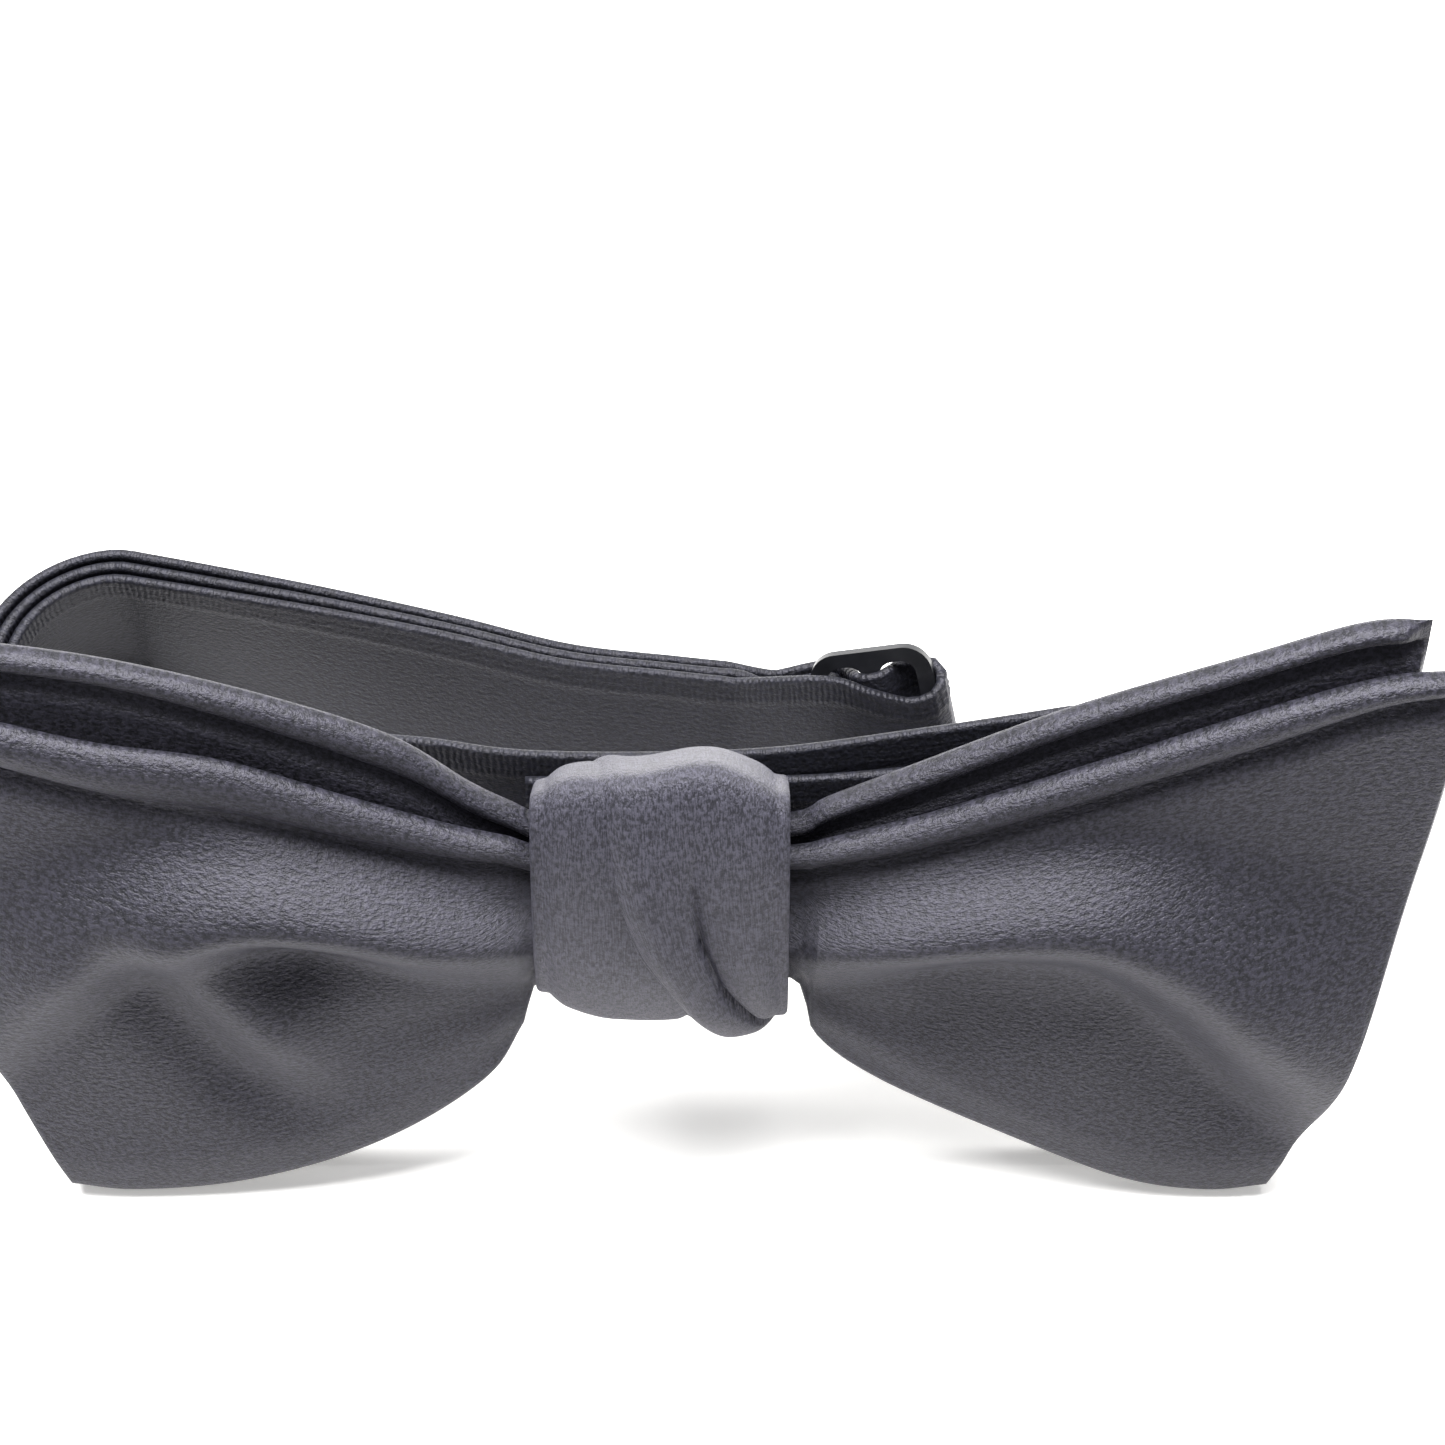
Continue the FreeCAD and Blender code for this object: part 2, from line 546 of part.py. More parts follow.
# ---------------------------------------------------------------- knot
def knot_section(x, grow):
    """A closed squarish oval round the knot at x, grown outwards from the space inside."""
    half_h = KNOT_INSIDE[0] + grow
    half_d = KNOT_INSIDE[1] + grow
    points = []
    for k in range(24):
        angle = 2 * math.pi * k / 24
        c, s = math.cos(angle), math.sin(angle)
        h = math.copysign(abs(c) ** (2 / KNOT_POWER), c) * half_h
        d = math.copysign(abs(s) ** (2 / KNOT_POWER), s) * half_d
        h -= KNOT_TOP_SLOPE * (half_d - d) * max(h / half_h, 0.0)
        points.append(on_bow(x, KNOT_CENTRE_H + h, KNOT_CENTRE_D + d))
    curve = Part.BSplineCurve()
    curve.interpolate(Points=points, PeriodicFlag=True)
    return Part.Wire([curve.toShape()])


def knot_ring(x_from, x_to, grow, thickness):
    """One turn of the knot's strip, a ring round the gathered bow."""
    outer = Part.makeLoft([knot_section(x_from, grow + thickness), knot_section(x_to, grow + thickness)], True)
    margin = 1.0
    inner = Part.makeLoft([knot_section(x_from - margin, grow), knot_section(x_to + margin, grow)], True)
    return outer.cut(inner)


def oblong(h_low, h_high, d_low, d_high):
    """Corners of an oblong round the gathered bow at x = 0."""
    return [on_bow(0, h, d) for h, d in ((h_low, d_low), (h_high, d_low), (h_high, d_high), (h_low, d_high))]


def build_knot():
    nodes = {}
    over_grow = WRAP + TURN_GAP
    nodes["knot_under_turn"] = knot_ring(*UNDER_TURN, 0.0, WRAP)
    over = knot_ring(*OVER_TURN, over_grow, WRAP)
    # the over turn's left edge runs slanting down to the right
    low, high = (on_bow(x, h, 0) for x, h in OVER_EDGE)
    edge = (high - low).normalize()
    out = on_bow(0, 0, 1)
    right_of_edge = frame_box(low, out.cross(edge) * -1, edge, (0, 40), (-30, 30), (-30, 60))
    nodes["knot_over_turn"] = over.common(right_of_edge)

    space = Part.makeLoft([knot_section(-PADDING_HALF, -0.1), knot_section(PADDING_HALF, -0.1)], True)
    before_bow = frame_box(on_bow(0, 0, 0), V(1, 0, 0), on_bow(0, 1, 0), (-20, 20),
                           (-40, -PADDING_FRONT), (0, 60))
    nodes["knot_padding"] = space.common(before_bow)

    front = FRONT_LEVEL + INTERLINING / 2 + PLY + BINDING_CLEAR
    back = BACK_LEVEL - INTERLINING / 2 - PLY - BINDING_CLEAR
    ring = oblong(*GATHER, back, front)
    outer = oblong(GATHER[0] - BINDING, GATHER[1] + BINDING, back - BINDING, front + BINDING)
    face = Part.Face(Part.makePolygon(outer + outer[:1])).cut(Part.Face(Part.makePolygon(ring + ring[:1])))
    turns = []
    for k in range(BINDING_TURNS):
        turn = face.extrude(V(THREAD, 0, 0))
        turn.translate(V(BINDING_PITCH * (k - (BINDING_TURNS - 1) / 2), 0, 0))
        turns.append(turn)
    nodes["centre_binding_thread"] = Part.makeCompound(turns)

    knot_back = KNOT_CENTRE_D - KNOT_INSIDE[1] - WRAP - over_grow
    stitches = []
    for k in range(STITCHES):
        start = on_bow(STITCH_START[0], STITCH_START[1] + STITCH_PITCH * k, knot_back)
        stitches.append(frame_box(start, V(1, 0, 0), on_bow(0, 1, 0), (0, STITCH_LENGTH),
                                  (-STITCH_GRIP, STITCH_DEPTH), (0, THREAD)))
    nodes["knot_closing_stitches"] = Part.makeCompound(stitches)
    return nodes


def on_the_table(strap):
    """The strap with its resting edge flat on the table."""
    above = Part.makeBox(400, 400, 200, V(-200, -200, 0))
    return strap.common(above).Solids[0]


def centred(nodes):
    """The nodes moved so that the origin is the middle of the object's base."""
    boxes = [shape.optimalBoundingBox() for shape in nodes.values()]
    middle_x = (min(b.XMin for b in boxes) + max(b.XMax for b in boxes)) / 2
    middle_y = (min(b.YMin for b in boxes) + max(b.YMax for b in boxes)) / 2
    shift = V(-middle_x, -middle_y, -min(b.ZMin for b in boxes))
    print("origin shift", shift)
    for shape in nodes.values():
        shape.translate(shift)
    return nodes, shift


def main():
    os.makedirs("parts", exist_ok=True)
    nodes = {}
    nodes.update(bow_layer("front_bow", FRONT_OUTLINE, FRONT_LEVEL, SWELL))
    nodes.update(bow_layer("back_bow", BACK_OUTLINE, BACK_LEVEL, 0.0))
    nodes.update(build_knot())
    nodes.update(build_straps())
    nodes["slide_frame"] = slide_frame()
    nodes["hook_plate"] = hook_plate()
    nodes["eye_plate"] = eye_plate()
    for name in ("long_strap", "doubled_strap_middle_layer", "doubled_strap_rear_layer"):
        nodes[name] = on_the_table(nodes[name])
    nodes, shift = centred(nodes)
    print("right bar of slide", V(*SLIDE_RIGHT_BAR) + shift, "bar axis", SLIDE_UP, "travel", ALONG)
    print("hook bar", V(*HOOK_BAR) + shift, "eye bar", V(*EYE_BAR) + shift)
    for name, shape in nodes.items():
        box = shape.optimalBoundingBox()
        print("%-28s %s %2d solids %8.1f mm3  x %6.1f %6.1f  y %6.1f %6.1f  z %6.2f %6.2f" % (
            name, shape.isValid(), len(shape.Solids), shape.Volume, box.XMin, box.XMax, box.YMin, box.YMax,
            box.ZMin, box.ZMax))
        shape.exportStep("parts/%s.step" % name)


main()
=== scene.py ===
"""Pre-tied navy satin bow tie on its folded neckband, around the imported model.

Lengths in the tables are millimetres. A point of the leaning bow plane is (x, h, d): x across,
h up along the face from the table, d outwards from the face.
"""
import math

import bpy
import numpy as np
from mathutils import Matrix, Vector


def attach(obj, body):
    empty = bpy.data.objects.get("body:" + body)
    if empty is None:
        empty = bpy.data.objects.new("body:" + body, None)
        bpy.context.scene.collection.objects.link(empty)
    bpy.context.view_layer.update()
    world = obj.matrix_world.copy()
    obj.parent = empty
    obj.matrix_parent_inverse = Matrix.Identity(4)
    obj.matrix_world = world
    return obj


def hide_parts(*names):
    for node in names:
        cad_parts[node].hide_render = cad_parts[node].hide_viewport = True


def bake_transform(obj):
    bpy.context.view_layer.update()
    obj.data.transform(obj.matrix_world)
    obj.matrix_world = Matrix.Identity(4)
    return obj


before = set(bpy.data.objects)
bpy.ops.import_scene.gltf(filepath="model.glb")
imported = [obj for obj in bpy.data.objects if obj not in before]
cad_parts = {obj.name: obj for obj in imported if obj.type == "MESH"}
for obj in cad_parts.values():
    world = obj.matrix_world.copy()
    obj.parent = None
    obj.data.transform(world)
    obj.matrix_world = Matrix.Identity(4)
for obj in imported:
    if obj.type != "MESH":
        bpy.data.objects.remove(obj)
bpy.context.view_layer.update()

bl_info = {
    "name": "Satin bow tie",
    "version": (1, 0, 0),
    "blender": (4, 5, 0),
    "location": "View3D > Sidebar > Bow Tie",
    "description": "Builds the visible cloth, fittings and stage of a pre-tied bow tie",
    "category": "Object",
}

MM = 0.001
FACE_ANGLE = math.radians(62.0)
# the middle of the object's base, in the coordinates that the tables below use
BASE = Vector((-0.15, 25.7546, 0.0))
FACE_DIR = Vector((0.0, math.cos(FACE_ANGLE), math.sin(FACE_ANGLE)))
OUT_DIR = Vector((0.0, -math.sin(FACE_ANGLE), math.cos(FACE_ANGLE)))

# outline columns of each bow layer, left tip to right tip: x top, h top, x bottom, h bottom
FRONT_OUTLINE = [
    (-61.5, 48.3, -50.2, 0.7), (-54.0, 46.8, -44.8, 0.0), (-44.2, 44.2, -36.5, 0.8),
    (-34.5, 42.6, -28.0, 3.4), (-25.4, 39.4, -20.5, 7.4), (-17.2, 36.6, -14.6, 12.4),
    (-12.4, 35.4, -11.8, 17.4), (-9.8, 34.6, -9.8, 21.9), (0.0, 34.2, 0.0, 22.4),
    (9.8, 34.6, 9.8, 21.9), (12.6, 35.2, 11.8, 16.4), (20.4, 37.6, 17.4, 11.6),
    (33.3, 42.4, 27.8, 5.9), (46.0, 47.3, 37.6, 1.3), (54.5, 50.0, 44.6, 0.0),
    (61.2, 50.6, 50.0, 0.6)]
BACK_OUTLINE = [
    (-60.0, 52.2, -48.4, 3.0), (-51.0, 51.2, -42.0, 2.2), (-42.3, 49.7, -34.5, 3.0),
    (-31.7, 46.8, -26.0, 5.8), (-21.6, 43.0, -18.4, 10.4), (-15.6, 38.6, -13.8, 14.4),
    (-12.2, 36.6, -11.6, 18.6), (-9.8, 35.6, -9.8, 22.2), (0.0, 35.0, 0.0, 22.6),
    (9.8, 35.6, 9.8, 22.2), (12.4, 37.0, 11.6, 18.0), (17.6, 39.4, 15.0, 13.6),
    (31.1, 45.4, 26.0, 7.6), (45.0, 50.3, 36.0, 3.2), (53.0, 53.0, 43.0, 2.2),
    (58.2, 53.4, 48.4, 2.8)]
# width of the rolled top edge along x
FRONT_ROLL = [(-62, 3.4), (-51, 4.0), (-34, 4.6), (-24, 3.6), (-13, 2.2), (0, 1.8), (10, 1.8), (20, 2.7),
              (33, 3.1), (48, 3.1), (56, 2.2), (62, 1.6)]
BACK_ROLL = [(-62, 2.2), (-51, 2.1), (-42, 2.2), (-31, 2.9), (-22, 3.2), (-13, 2.0), (0, 1.6), (10, 1.6),
             (20, 2.2), (31, 2.2), (45, 1.9), (54, 1.8), (62, 1.6)]
FRONT_LEVEL = 0.75
BACK_LEVEL = -2.2
HALF_LAYER = 0.9           # half the thickness of a bow layer
OUTER_BULGE = 2.0          # the wings' outer edges curve outwards
TOP_ROWS, TOP_SHARE = 0.34, 0.11    # this share of a layer's rows covers this share nearest its top edge
RIM_ROWS = 6               # rows that round the bottom rim
TIP_SPACING = 0.62         # spacing of the columns near the tips
ROLL_FRONT, ROLL_BACK = 1.55, 0.9   # how far the rolled top edge stands out, in front and behind
SEAM = 0.05                # what is left of the thickness in the crease and at the seam
CREASE_SOFTNESS = 2.6
CLOTH_HEIGHT = 45          # a wing's height on the flat cloth, for its weave
GATHER_DEPTH = 0.16        # faint pleats that run out of the knot

# the front swell's crest: x, height, how far it stands out, softness above, softness below
CREST = [
    (-62, 16.0, 0.2, 14.0, 12.0), (-56, 19.0, 1.6, 14.0, 11.0), (-48, 24.5, 3.4, 11.0, 8.0),
    (-40, 28.5, 4.6, 8.5, 6.5), (-33, 29.9, 5.0, 7.0, 5.0), (-26, 29.4, 5.0, 6.0, 5.5),
    (-18, 27.7, 4.4, 5.5, 6.0), (-10.5, 26.6, 2.6, 4.5, 5.0), (0, 26.0, 0.5, 4.0, 4.0),
    (10.0, 26.2, 2.6, 4.5, 5.0), (18, 27.7, 4.4, 5.5, 5.5), (27, 28.9, 5.0, 6.5, 5.5),
    (34, 28.6, 5.2, 8.0, 6.5), (40, 25.8, 5.2, 11.0, 9.0), (47, 20.5, 5.2, 15.0, 12.0),
    (54, 16.0, 4.0, 18.0, 13.0), (62, 13.0, 1.2, 20.0, 13.0)]
CREST_HEIGHT = 5.0         # the table's height where the swell is fullest
# left wing: a dent under the crest, a slanting fold below it and the valley beyond the fold
DENT_AT, DENT_SIZE, DENT_DEPTH = (-29.6, 24.6), (5.0, 2.9), 1.1
FOLD_LINE = [(-40.5, 30.0), (-37.0, 23.5), (-31.5, 16.5), (-26.0, 11.0)]
FOLD_WIDTH, FOLD_HEIGHT = 4.3, 1.7
VALLEY_LINE = [(-45.5, 30.0), (-42.0, 22.5), (-35.5, 14.0), (-26.0, 7.0)]
VALLEY_WIDTH, VALLEY_DEPTH = 3.3, 1.4
# right wing: a shallow hollow that runs from under the crest to the lower corner
HOLLOW_LINE = [(22.0, 21.5), (36.0, 19.5), (46.0, 11.0)]
HOLLOW_WIDTH, HOLLOW_DEPTH = 4.0, 0.7


# ------------------------------------------------------------------ small helpers
def linear(hex_colour):
    """An sRGB hex value as linear red, green, blue, alpha."""
    values = [int(hex_colour[i:i + 2], 16) / 255 for i in (1, 3, 5)]
    return tuple(v / 12.92 if v <= 0.04045 else ((v + 0.055) / 1.055) ** 2.4 for v in values) + (1.0,)


def smooth(t):
    """0 to 1 with level ends."""
    t = np.clip(t, 0.0, 1.0)
    return t * t * (3 - 2 * t)


def on_bow(x, h, d):
    """A point of the leaning bow plane, in metres in the model's frame."""
    return (Vector((x, 0, 0)) + FACE_DIR * h + OUT_DIR * d - BASE) * MM


def curve_through(points, count):
    """Catmull-Rom curve through rows of numbers, evenly spaced along the first three."""
    p = np.array(points, float)
    p = np.vstack([2 * p[0] - p[1], p, 2 * p[-1] - p[-2]])
    dense = []
    for i in range(1, len(p) - 2):
        for t in np.linspace(0, 1, 24, endpoint=False):
            a, b, c, d = p[i - 1], p[i], p[i + 1], p[i + 2]
            dense.append(0.5 * (2 * b + (c - a) * t + (2 * a - 5 * b + 4 * c - d) * t ** 2
                                + (3 * b - a - 3 * c + d) * t ** 3))
    dense.append(p[-2])
    dense = np.array(dense)
    steps = np.concatenate([[0], np.cumsum(np.linalg.norm(np.diff(dense[:, :3], axis=0), axis=1))])
    wanted = np.linspace(0, steps[-1], count)
    return np.column_stack([np.interp(wanted, steps, dense[:, k]) for k in range(p.shape[1])]), steps[-1]


def table_at(table, x, column=1):
    """A table's column at x, smoothly between its rows."""
    xs = np.array([row[0] for row in table], float)
    ys = np.array([row[column] for row in table], float)
    i = np.clip(np.searchsorted(xs, x) - 1, 0, len(xs) - 2)
    slope = np.gradient(ys, xs)
    width = xs[i + 1] - xs[i]
    t = np.clip((x - xs[i]) / width, 0, 1)
    return ((2 * t ** 3 - 3 * t ** 2 + 1) * ys[i] + (t ** 3 - 2 * t ** 2 + t) * width * slope[i]
            + (-2 * t ** 3 + 3 * t ** 2) * ys[i + 1] + (t ** 3 - t ** 2) * width * slope[i + 1])


def near_line(x, h, line):
    """Distance from points to a polyline, and how far along it they are, 0 to 1."""
    best = np.full(np.shape(x), 1e9)
    along = np.zeros(np.shape(x))
    for i, ((x0, h0), (x1, h1)) in enumerate(zip(line, line[1:])):
        dx, dh = x1 - x0, h1 - h0
        t = np.clip(((x - x0) * dx + (h - h0) * dh) / (dx * dx + dh * dh), 0, 1)
        gap = np.hypot(x - x0 - t * dx, h - h0 - t * dh)
        along = np.where(gap < best, (i + t) / (len(line) - 1), along)
        best = np.minimum(gap, best)
    return best, along


def new_piece(name, grid, faces):
    """A piece from a grid of points and its faces, its mesh and an empty UV map for the cloth."""
    mesh = bpy.data.meshes.new(name)
    mesh.from_pydata([tuple(p) for row in grid for p in row], [], faces)
    piece = bpy.data.objects.new(name, mesh)
    bpy.context.scene.collection.objects.link(piece)
    return piece, mesh, mesh.uv_layers.new(name="cloth")


def cloth_mesh(name, grid, along, across):
    """A closed piece from rings of points, with a UV map in metres along (u) and across (v) the cloth."""
    rows, columns = len(grid), len(grid[0])
    faces = [(i * columns + j, i * columns + (j + 1) % columns, (i + 1) * columns + (j + 1) % columns,
              (i + 1) * columns + j) for i in range(rows - 1) for j in range(columns)]
    faces.append(tuple(range(columns))[::-1])
    faces.append(tuple((rows - 1) * columns + j for j in range(columns)))
    piece, mesh, layer = new_piece(name, grid, faces)
    for loop in mesh.loops:
        i, j = divmod(loop.vertex_index, columns)
        layer.data[loop.index].uv = (along[i], across[j])
    return finished(piece)


DOUBLES = 0.000004         # points closer than this are one, in metres


def finished(piece):
    """Merged doubles, outward faces and smooth shading."""
    bpy.ops.object.select_all(action="DESELECT")
    bpy.context.view_layer.objects.active = piece
    piece.select_set(True)
    bpy.ops.object.mode_set(mode="EDIT")
    bpy.ops.mesh.select_all(action="SELECT")
    bpy.ops.mesh.remove_doubles(threshold=DOUBLES)
    bpy.ops.mesh.normals_make_consistent(inside=False)
    bpy.ops.object.mode_set(mode="OBJECT")
    bpy.ops.object.shade_smooth()
    piece.select_set(False)
    return piece


# ------------------------------------------------------------------ materials
# the satin's weave: waves a metre of its thread grain (along, across), speckle and clouding
THREAD_WAVES = (1600.0, 3600.0, 1.0)
SPECKLE_WAVES = 2600.0
CLOUD_WAVES = 90.0
LINT_CELLS = 150.0         # lint: one cell in ten holds a speck
LINT_SIZE, LINT_CHANCE = 0.030, 0.90
ROPE_WAVES = 560.0         # twist of the cords along the band's edges
CORDS_FROM, CORDS_FULL, CORD_HEIGHT = 0.0052, 0.0060, 0.45
GRAIN_DEPTH = 0.00016


def set_inputs(node, values):
    for name, value in values.items():
        node.inputs[name].default_value = value


def add_node(tree, kind, settings=None, inputs=None, links=None):
    """A node with its settings, input values and incoming links."""
    node = tree.nodes.new(kind)
    for name, value in (settings or {}).items():
        setattr(node, name, value)
    set_inputs(node, inputs or {})
    for name, source in (links or {}).items():
        tree.links.new(source, node.inputs[name])
    return node


def new_material(name):
    material = bpy.data.materials.new(name)
    material.use_nodes = True
    tree = material.node_tree
    shader = tree.nodes["Principled BSDF"]
    return material, tree, shader


def satin(name, dark, light, roughness, corded=False):
    """Navy satin, woven with floating warp threads: a soft broad gloss over a fine uneven grain.

    The real weave of 0.1 mm threads is too fine to show, so its grain is drawn at about 0.3 mm.
    """
    material, tree, shader = new_material(name)
    place = add_node(tree, "ShaderNodeTexCoord")
    uv = add_node(tree, "ShaderNodeUVMap", {"uv_map": "cloth"})
    threads = add_node(tree, "ShaderNodeMapping", inputs={"Scale": THREAD_WAVES},
                       links={"Vector": uv.outputs["UV"]})
    grain = add_node(tree, "ShaderNodeTexNoise", inputs={"Scale": 1.0, "Detail": 3.0, "Roughness": 0.65},
                     links={"Vector": threads.outputs["Vector"]})
    speckle = add_node(tree, "ShaderNodeTexNoise",
                       inputs={"Scale": SPECKLE_WAVES, "Detail": 2.0, "Roughness": 0.7},
                       links={"Vector": place.outputs["Object"]})
    cloud = add_node(tree, "ShaderNodeTexNoise", inputs={"Scale": CLOUD_WAVES, "Detail": 3.0},
                     links={"Vector": place.outputs["Object"]})
    both = add_node(tree, "ShaderNodeMath", {"operation": "MULTIPLY_ADD"}, {1: 0.8},
                    {0: speckle.outputs["Fac"]})
    tree.links.new(grain.outputs["Fac"], both.inputs[2])
    tone = add_node(tree, "ShaderNodeMapRange", inputs={"From Min": 0.79, "From Max": 1.03},
                    links={"Value": both.outputs["Value"]})
    colour = add_node(tree, "ShaderNodeMix", {"data_type": "RGBA"},
                      {"A": linear(dark), "B": linear(light)}, {"Factor": tone.outputs["Result"]})
    wear = add_node(tree, "ShaderNodeMapRange",
                    inputs={"From Min": 0.3, "From Max": 0.7, "To Min": 0.86, "To Max": 1.12},
                    links={"Value": cloud.outputs["Fac"]})
    shade = add_node(tree, "ShaderNodeVectorMath", {"operation": "SCALE"},
                     links={"Vector": colour.outputs["Result"], "Scale": wear.outputs["Result"]})
    # lint: a few pale specks, under half a millimetre across
    lint = add_node(tree, "ShaderNodeTexVoronoi", {"feature": "F1"}, {"Scale": LINT_CELLS, "Randomness": 1.0},
                    {"Vector": place.outputs["Object"]})
    speck = add_node(tree, "ShaderNodeMath", {"operation": "LESS_THAN"}, {1: LINT_SIZE},
                     {0: lint.outputs["Distance"]})
    chance = add_node(tree, "ShaderNodeSeparateColor", links={"Color": lint.outputs["Color"]})
    few = add_node(tree, "ShaderNodeMath", {"operation": "GREATER_THAN"}, {1: LINT_CHANCE},
                   {0: chance.outputs["Red"]})
    there = add_node(tree, "ShaderNodeMath", {"operation": "MULTIPLY"},
                     links={0: speck.outputs["Value"], 1: few.outputs["Value"]})
    dusted = add_node(tree, "ShaderNodeMix", {"data_type": "RGBA"}, {"B": linear("#A9ABB2")},
                      {"Factor": there.outputs["Value"], "A": shade.outputs["Vector"]})
    tree.links.new(dusted.outputs["Result"], shader.inputs["Base Color"])
    height = both.outputs["Value"]
    if corded:
        # the band is woven with raised cords along both edges, twisted like fine rope
        across = add_node(tree, "ShaderNodeSeparateXYZ", links={"Vector": uv.outputs["UV"]})
        twist = add_node(tree, "ShaderNodeTexWave", {"wave_type": "BANDS", "bands_direction": "X"},
                         {"Scale": ROPE_WAVES, "Distortion": 3.0, "Detail": 2.0, "Detail Scale": 2.0},
                         {"Vector": uv.outputs["UV"]})
        edge = add_node(tree, "ShaderNodeMath", {"operation": "ABSOLUTE"}, links={0: across.outputs["Y"]})
        near_edge = add_node(tree, "ShaderNodeMapRange",
                             inputs={"From Min": CORDS_FROM, "From Max": CORDS_FULL, "To Min": 0.0,
                                     "To Max": CORD_HEIGHT},
                             links={"Value": edge.outputs["Value"]})
        rope = add_node(tree, "ShaderNodeMath", {"operation": "MULTIPLY"},
                        links={0: twist.outputs["Fac"], 1: near_edge.outputs["Result"]})
        height = add_node(tree, "ShaderNodeMath", {"operation": "ADD"},
                          links={0: rope.outputs["Value"], 1: height}).outputs["Value"]
    bump = add_node(tree, "ShaderNodeBump", inputs={"Strength": 0.8, "Distance": GRAIN_DEPTH},
                    links={"Height": height})
    tree.links.new(bump.outputs["Normal"], shader.inputs["Normal"])
    set_inputs(shader, {"Roughness": roughness, "IOR": 1.5, "Specular IOR Level": 0.5,
                        "Specular Tint": linear("#E6E4F0"), "Sheen Weight": 0.06,
                        "Sheen Roughness": 0.45, "Sheen Tint": linear("#9A9BB8")})
    return material


def enamel(name, colour):
    """Steel stamping in black stoving enamel: semi-gloss with a faint orange-peel and rubbed patches."""
    material, tree, shader = new_material(name)
    place = add_node(tree, "ShaderNodeTexCoord")
    peel = add_node(tree, "ShaderNodeTexNoise", inputs={"Scale": 1400.0, "Detail": 2.0},
                    links={"Vector": place.outputs["Object"]})
    rub = add_node(tree, "ShaderNodeTexNoise", inputs={"Scale": 420.0, "Detail": 4.0},
                   links={"Vector": place.outputs["Object"]})
    tint = add_node(tree, "ShaderNodeMix", {"data_type": "RGBA"},
                    {"A": linear(colour), "B": linear("#24252A")}, {"Factor": rub.outputs["Fac"]})
    gloss = add_node(tree, "ShaderNodeMapRange", inputs={"To Min": 0.28, "To Max": 0.5},
                     links={"Value": rub.outputs["Fac"]})
    bump = add_node(tree, "ShaderNodeBump", inputs={"Strength": 0.2, "Distance": 0.00005},
                    links={"Height": peel.outputs["Fac"]})
    tree.links.new(tint.outputs["Result"], shader.inputs["Base Color"])
    tree.links.new(gloss.outputs["Result"], shader.inputs["Roughness"])
    tree.links.new(bump.outputs["Normal"], shader.inputs["Normal"])
    return material


def spun(name, dark, light, scale):
    """Sewing thread or brushed interlining: matt fibre with a fuzzy uneven tone."""
    material, tree, shader = new_material(name)
    place = add_node(tree, "ShaderNodeTexCoord")
    fibre = add_node(tree, "ShaderNodeTexNoise", inputs={"Scale": scale, "Detail": 4.0, "Roughness": 0.7},
                     links={"Vector": place.outputs["Object"]})
    tint = add_node(tree, "ShaderNodeMix", {"data_type": "RGBA"},
                    {"A": linear(dark), "B": linear(light)}, {"Factor": fibre.outputs["Fac"]})
    bump = add_node(tree, "ShaderNodeBump", inputs={"Strength": 0.6, "Distance": 0.0001},
                    links={"Height": fibre.outputs["Fac"]})
    tree.links.new(tint.outputs["Result"], shader.inputs["Base Color"])
    tree.links.new(bump.outputs["Normal"], shader.inputs["Normal"])
    shader.inputs["Roughness"].default_value = 0.85
    return material


def give(piece, material):
    piece.data.materials.clear()
    piece.data.materials.append(material)


# ------------------------------------------------------------------ bow layers
def layer_columns(outline, count):
    """Outline columns, with more of them near the tips."""
    columns, _ = curve_through([(t, a, 0.0, b, c) for (t, a, b, c) in outline], 600)
    share = 0.5 - 0.5 * np.cos(np.linspace(0, math.pi, count))
    share = 0.25 * share + 0.75 * np.linspace(0, 1, count)
    at = share * (len(columns) - 1)
    rows = [np.interp(at, np.arange(len(columns)), columns[:, k]) for k in (0, 1, 3, 4)]
    return np.column_stack(rows)


def front_swell(x, h, top, bottom, roll, swell):
    """How far the front layer stands out: a crest with a lit slope above and a shadowed hollow below."""
    crest = table_at(CREST, x, 1)
    height = table_at(CREST, x, 2) * swell / CREST_HEIGHT
    above = table_at(CREST, x, 3)
    below = table_at(CREST, x, 4)
    crease = top - roll
    above = np.minimum(above, np.maximum(crease - crest, 1.5))
    below = np.minimum(below, np.maximum(crest - bottom, 1.5))
    up = 1.0 - smooth((h - crest) / above)
    down = 1.0 - smooth((crest - h) / below)
    out = height * np.where(h > crest, up, 0.12 + 0.88 * down)
    dent = np.exp(-((x - DENT_AT[0]) / DENT_SIZE[0]) ** 2 - ((h - DENT_AT[1]) / DENT_SIZE[1]) ** 2)
    gap, along = near_line(x, h, FOLD_LINE)
    fold = np.exp(-(gap / FOLD_WIDTH) ** 2) * smooth(along * 3) * smooth((1 - along) * 2.5)
    gap, along = near_line(x, h, VALLEY_LINE)
    valley = np.exp(-(gap / VALLEY_WIDTH) ** 2) * smooth(along * 4) * smooth((1 - along) * 3)
    out = out - DENT_DEPTH * dent + FOLD_HEIGHT * fold - VALLEY_DEPTH * valley
    gap, _ = near_line(x, h, HOLLOW_LINE)
    return out - HOLLOW_DEPTH * np.exp(-(gap / HOLLOW_WIDTH) ** 2)


def gathers(x, h, seed):
    """Faint pleats that run out of the knot and fade along the wing."""
    from_knot = np.maximum(np.abs(x) - 9.0, 0)
    angle = (h - 27.0) / (4.0 + from_knot * 0.28)
    return GATHER_DEPTH * np.exp(-from_knot / 13.0) * np.sin(angle * 7.0 + seed)


